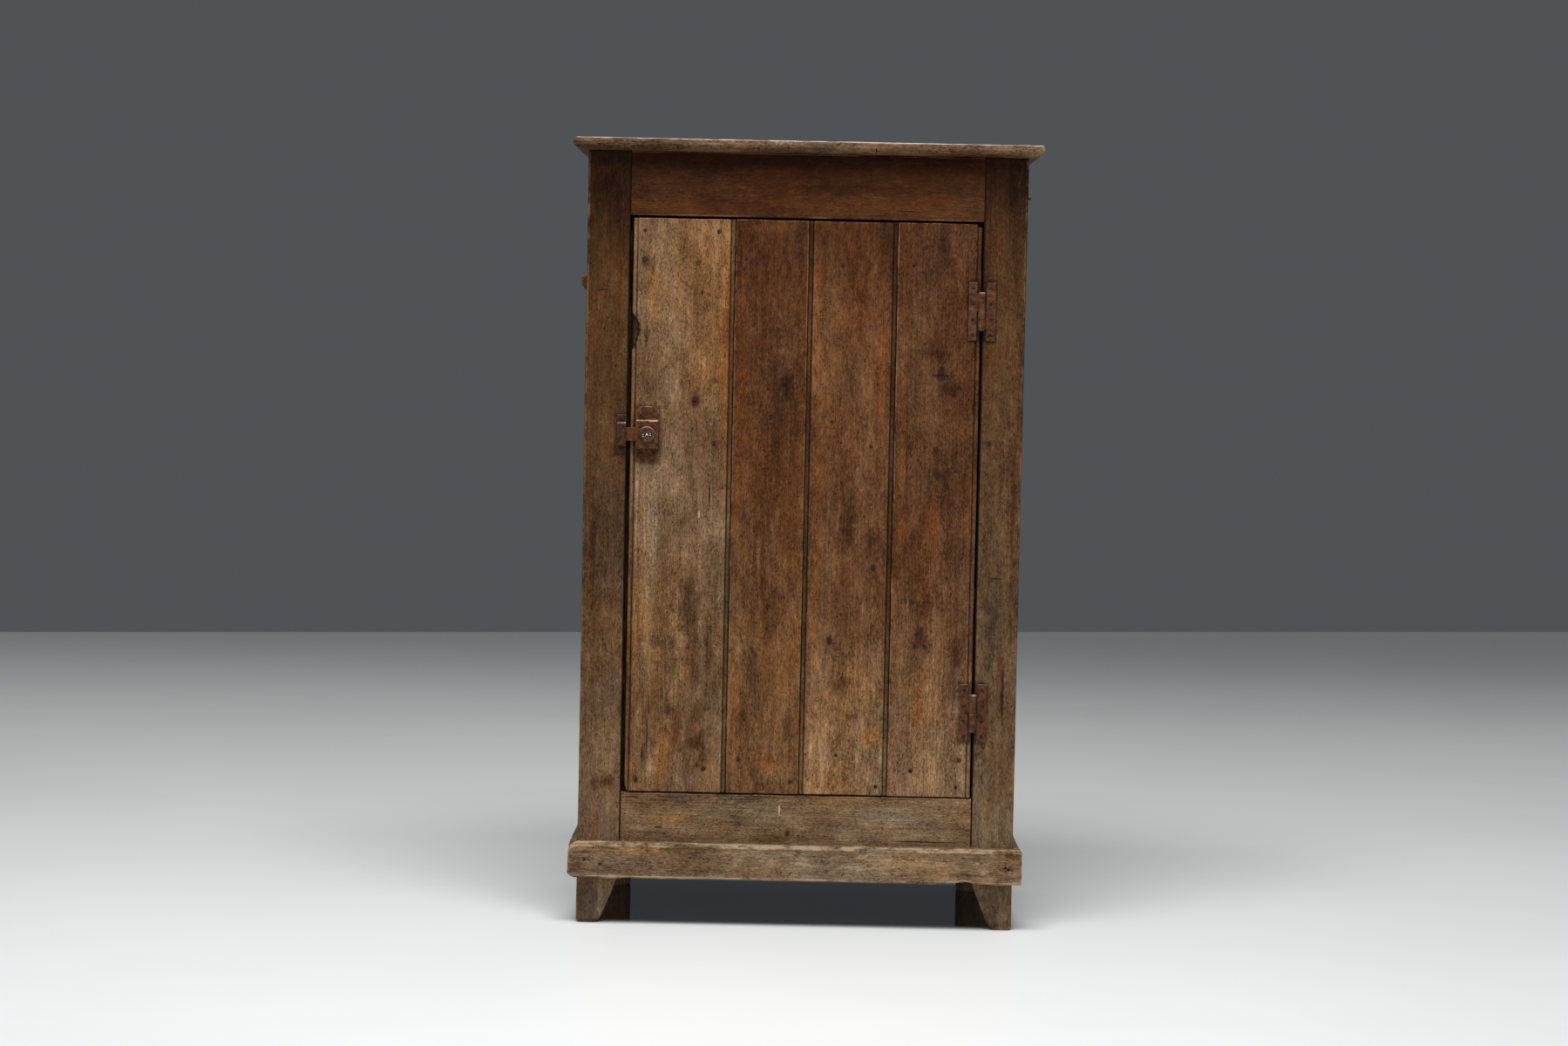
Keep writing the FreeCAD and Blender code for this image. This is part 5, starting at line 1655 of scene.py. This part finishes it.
for number, level in enumerate(("floor", "lower_shelf", "upper_shelf")):
    for place in ("front", "rear"):
        node = f"{level}_{place}_board"
        radii = (0.004, 0.001, 0.001, 0.004) if place == "front" else None
        seed = 70.0 + number * 2 + (place == "rear")
        dress(plank(node, "X", seed, radii), inner_wood, "inner_wood", node)
for number, level in enumerate(("floor", "lower_shelf", "upper_shelf", "top")):
    for side in ("left", "right"):
        node = f"{side}_{level}_bearer"
        dress(plank(node, "Y", 80.0 + number * 2 + (side == "right")), bearer_wood, "inner_wood", node)
dress(plank("door_stop", "Z", 90.0), stop_shade_wood, "frame_wood", "door_stop")
for number, node in enumerate(("bottom_ledge", "middle_ledge", "top_ledge")):
    radii = (0.0008, 0.0035, 0.0035, 0.0008)
    dress(plank(node, "X", 91.0 + number, radii, 0.002), ledge_wood, "door_wood", node)
dress(worn_copy("side_cleat", 0.0012, 3, 0.0003, 94.0), left_post_wood, "frame_wood", "side_cleat")

for number, level in enumerate(("lower", "upper")):
    for leaf in ("door_leaf", "frame_leaf"):
        node = f"{level}_{leaf}"
        dress(worn_copy(node, 0.00045, 2, 0.00012, 100.0 + number), hinge_iron, "rusty_iron", node)
# Each band is a bend of the plate that is painted pale as a highlight.
for seed, node, iron, band in (
    (110.0, "lock_case", lock_iron, (744, 480.6, 483.4)),
    (111.0, "keeper", keeper_iron, (716, 481.6, 484.0)),
):
    dress(worn_copy(node, 0.00042, 2, 0.00010, seed, band), iron, "rusty_iron", node)
dress(worn_copy("lock_bolt", 0.0006, 2, 0.00008, 120.0), bolt_iron, "rusty_bolt", "lock_bolt")
dress(key_plug(), plug_metal, "lock_plug", "lock_plug")
for node in ("lower_hinge_pin", "upper_hinge_pin", "lock_back_plate"):
    held = frame["nodes"][node]
    held.data.materials.clear()
    held.data.materials.append(hinge_iron)

nail_heads("door_nails")
nail_heads("carcase_nails")
screw_heads("door_screws", 0.0036, 0.0004, -0.0001)
screw_heads("frame_screws", 0.0036, 0.0004, -0.0001)
screw_heads("keeper_screws", 0.0044, 0.0016, 0.0022)


# Room, light and camera


def floor_sheet():
    """A flat sheet whose far edge is level in the picture."""
    left, right = on_floor(0, floor_far_row), on_floor(photo_width, floor_far_row)
    slope = (right.y - left.y) / (right.x - left.x)
    made = bmesh.new()
    near, far = [], []
    for side in (-1, 1):
        reach = side * floor_half_width
        near.append(made.verts.new((reach, floor_near, 0)))
        far.append(made.verts.new((reach, left.y + slope * (reach - left.x), 0)))
    made.faces.new((near[0], near[1], far[1], far[0]))
    return to_object("floor", made)


def floor_material():
    """Pale and a little cloudy, and darker into the distance, a painted shade. Behind the front feet it
    mirrors the rear feet and the dark underside.
    """
    graph = Graph(bpy.data.materials.new("floor"))
    place = graph.node("ShaderNodeTexCoord", {}).outputs["Object"]
    parts = graph.parts(place)
    cloud = graph.noise(place, (1.3, 1.3, 1.3), 3.0)
    cloudy = [value * 0.97 for value in floor_colour]
    colour = graph.mix(graph.fade(cloud, 0.35, 0.65), floor_colour, cloudy)
    # Painted shade: the floor darkens into the distance.
    colour = graph.mix(graph.fade(parts[1], *floor_shade_fade), colour, floor_far_shade_colour)
    plain = graph.surface(colour, 0.30, cloud, 0.0001, 0.1, 0.0, 0.2)
    beside = graph.fade(graph.math("ABSOLUTE", parts[0]), *mirror_side)
    behind_feet = graph.math("MULTIPLY", beside, graph.fade(parts[1], *mirror_front))
    share = graph.math("MULTIPLY", behind_feet, graph.fade(parts[1], *mirror_back))
    looks = {"Color": (*mirror_colour, 1.0), "Roughness": mirror_roughness}
    mirror = graph.node("ShaderNodeBsdfGlossy", looks).outputs[0]
    share = graph.math("MULTIPLY", share, mirror_strength)
    both = graph.node("ShaderNodeMixShader", {0: share, 1: plain, 2: mirror}).outputs[0]
    graph.node("ShaderNodeOutputMaterial", {"Surface": both})
    return graph.block


def area_light(name, place, target, power, size):
    data = bpy.data.lights.new(name, "AREA")
    data.shape = "RECTANGLE"
    data.size, data.size_y = size
    data.energy = power
    light = bpy.data.objects.new(name, data)
    light.location = place
    light.rotation_mode = "QUATERNION"
    light.rotation_quaternion = (target - place).to_track_quat("-Z", "Y")
    bpy.context.scene.collection.objects.link(light)


def surroundings():
    """An even pale light from all round, behind which the camera sees a plain slate backdrop."""
    world = bpy.data.worlds.new("room")
    graph = Graph(world)
    seen = graph.node("ShaderNodeLightPath", {}).outputs
    either = graph.math("MAXIMUM", seen["Is Camera Ray"], seen["Is Glossy Ray"])
    direct = graph.math("MAXIMUM", either, seen["Is Transmission Ray"])
    light = {"Color": (*ambient_colour, 1.0), "Strength": ambient_strength}
    ambient = graph.node("ShaderNodeBackground", light).outputs[0]
    backdrop = graph.node("ShaderNodeBackground", {"Color": (*backdrop_colour, 1.0)}).outputs[0]
    chosen = graph.node("ShaderNodeMixShader", {0: direct, 1: ambient, 2: backdrop}).outputs[0]
    graph.node("ShaderNodeOutputWorld", {"Surface": chosen})
    bpy.context.scene.world = world


floor = floor_sheet()
floor.data.materials.append(floor_material())
area_light("key", key_place, key_target, key_power, key_size)
area_light("fill", fill_place, key_target, fill_power, fill_size)
surroundings()
make_camera()
bpy.context.scene.view_settings.view_transform = "Standard"
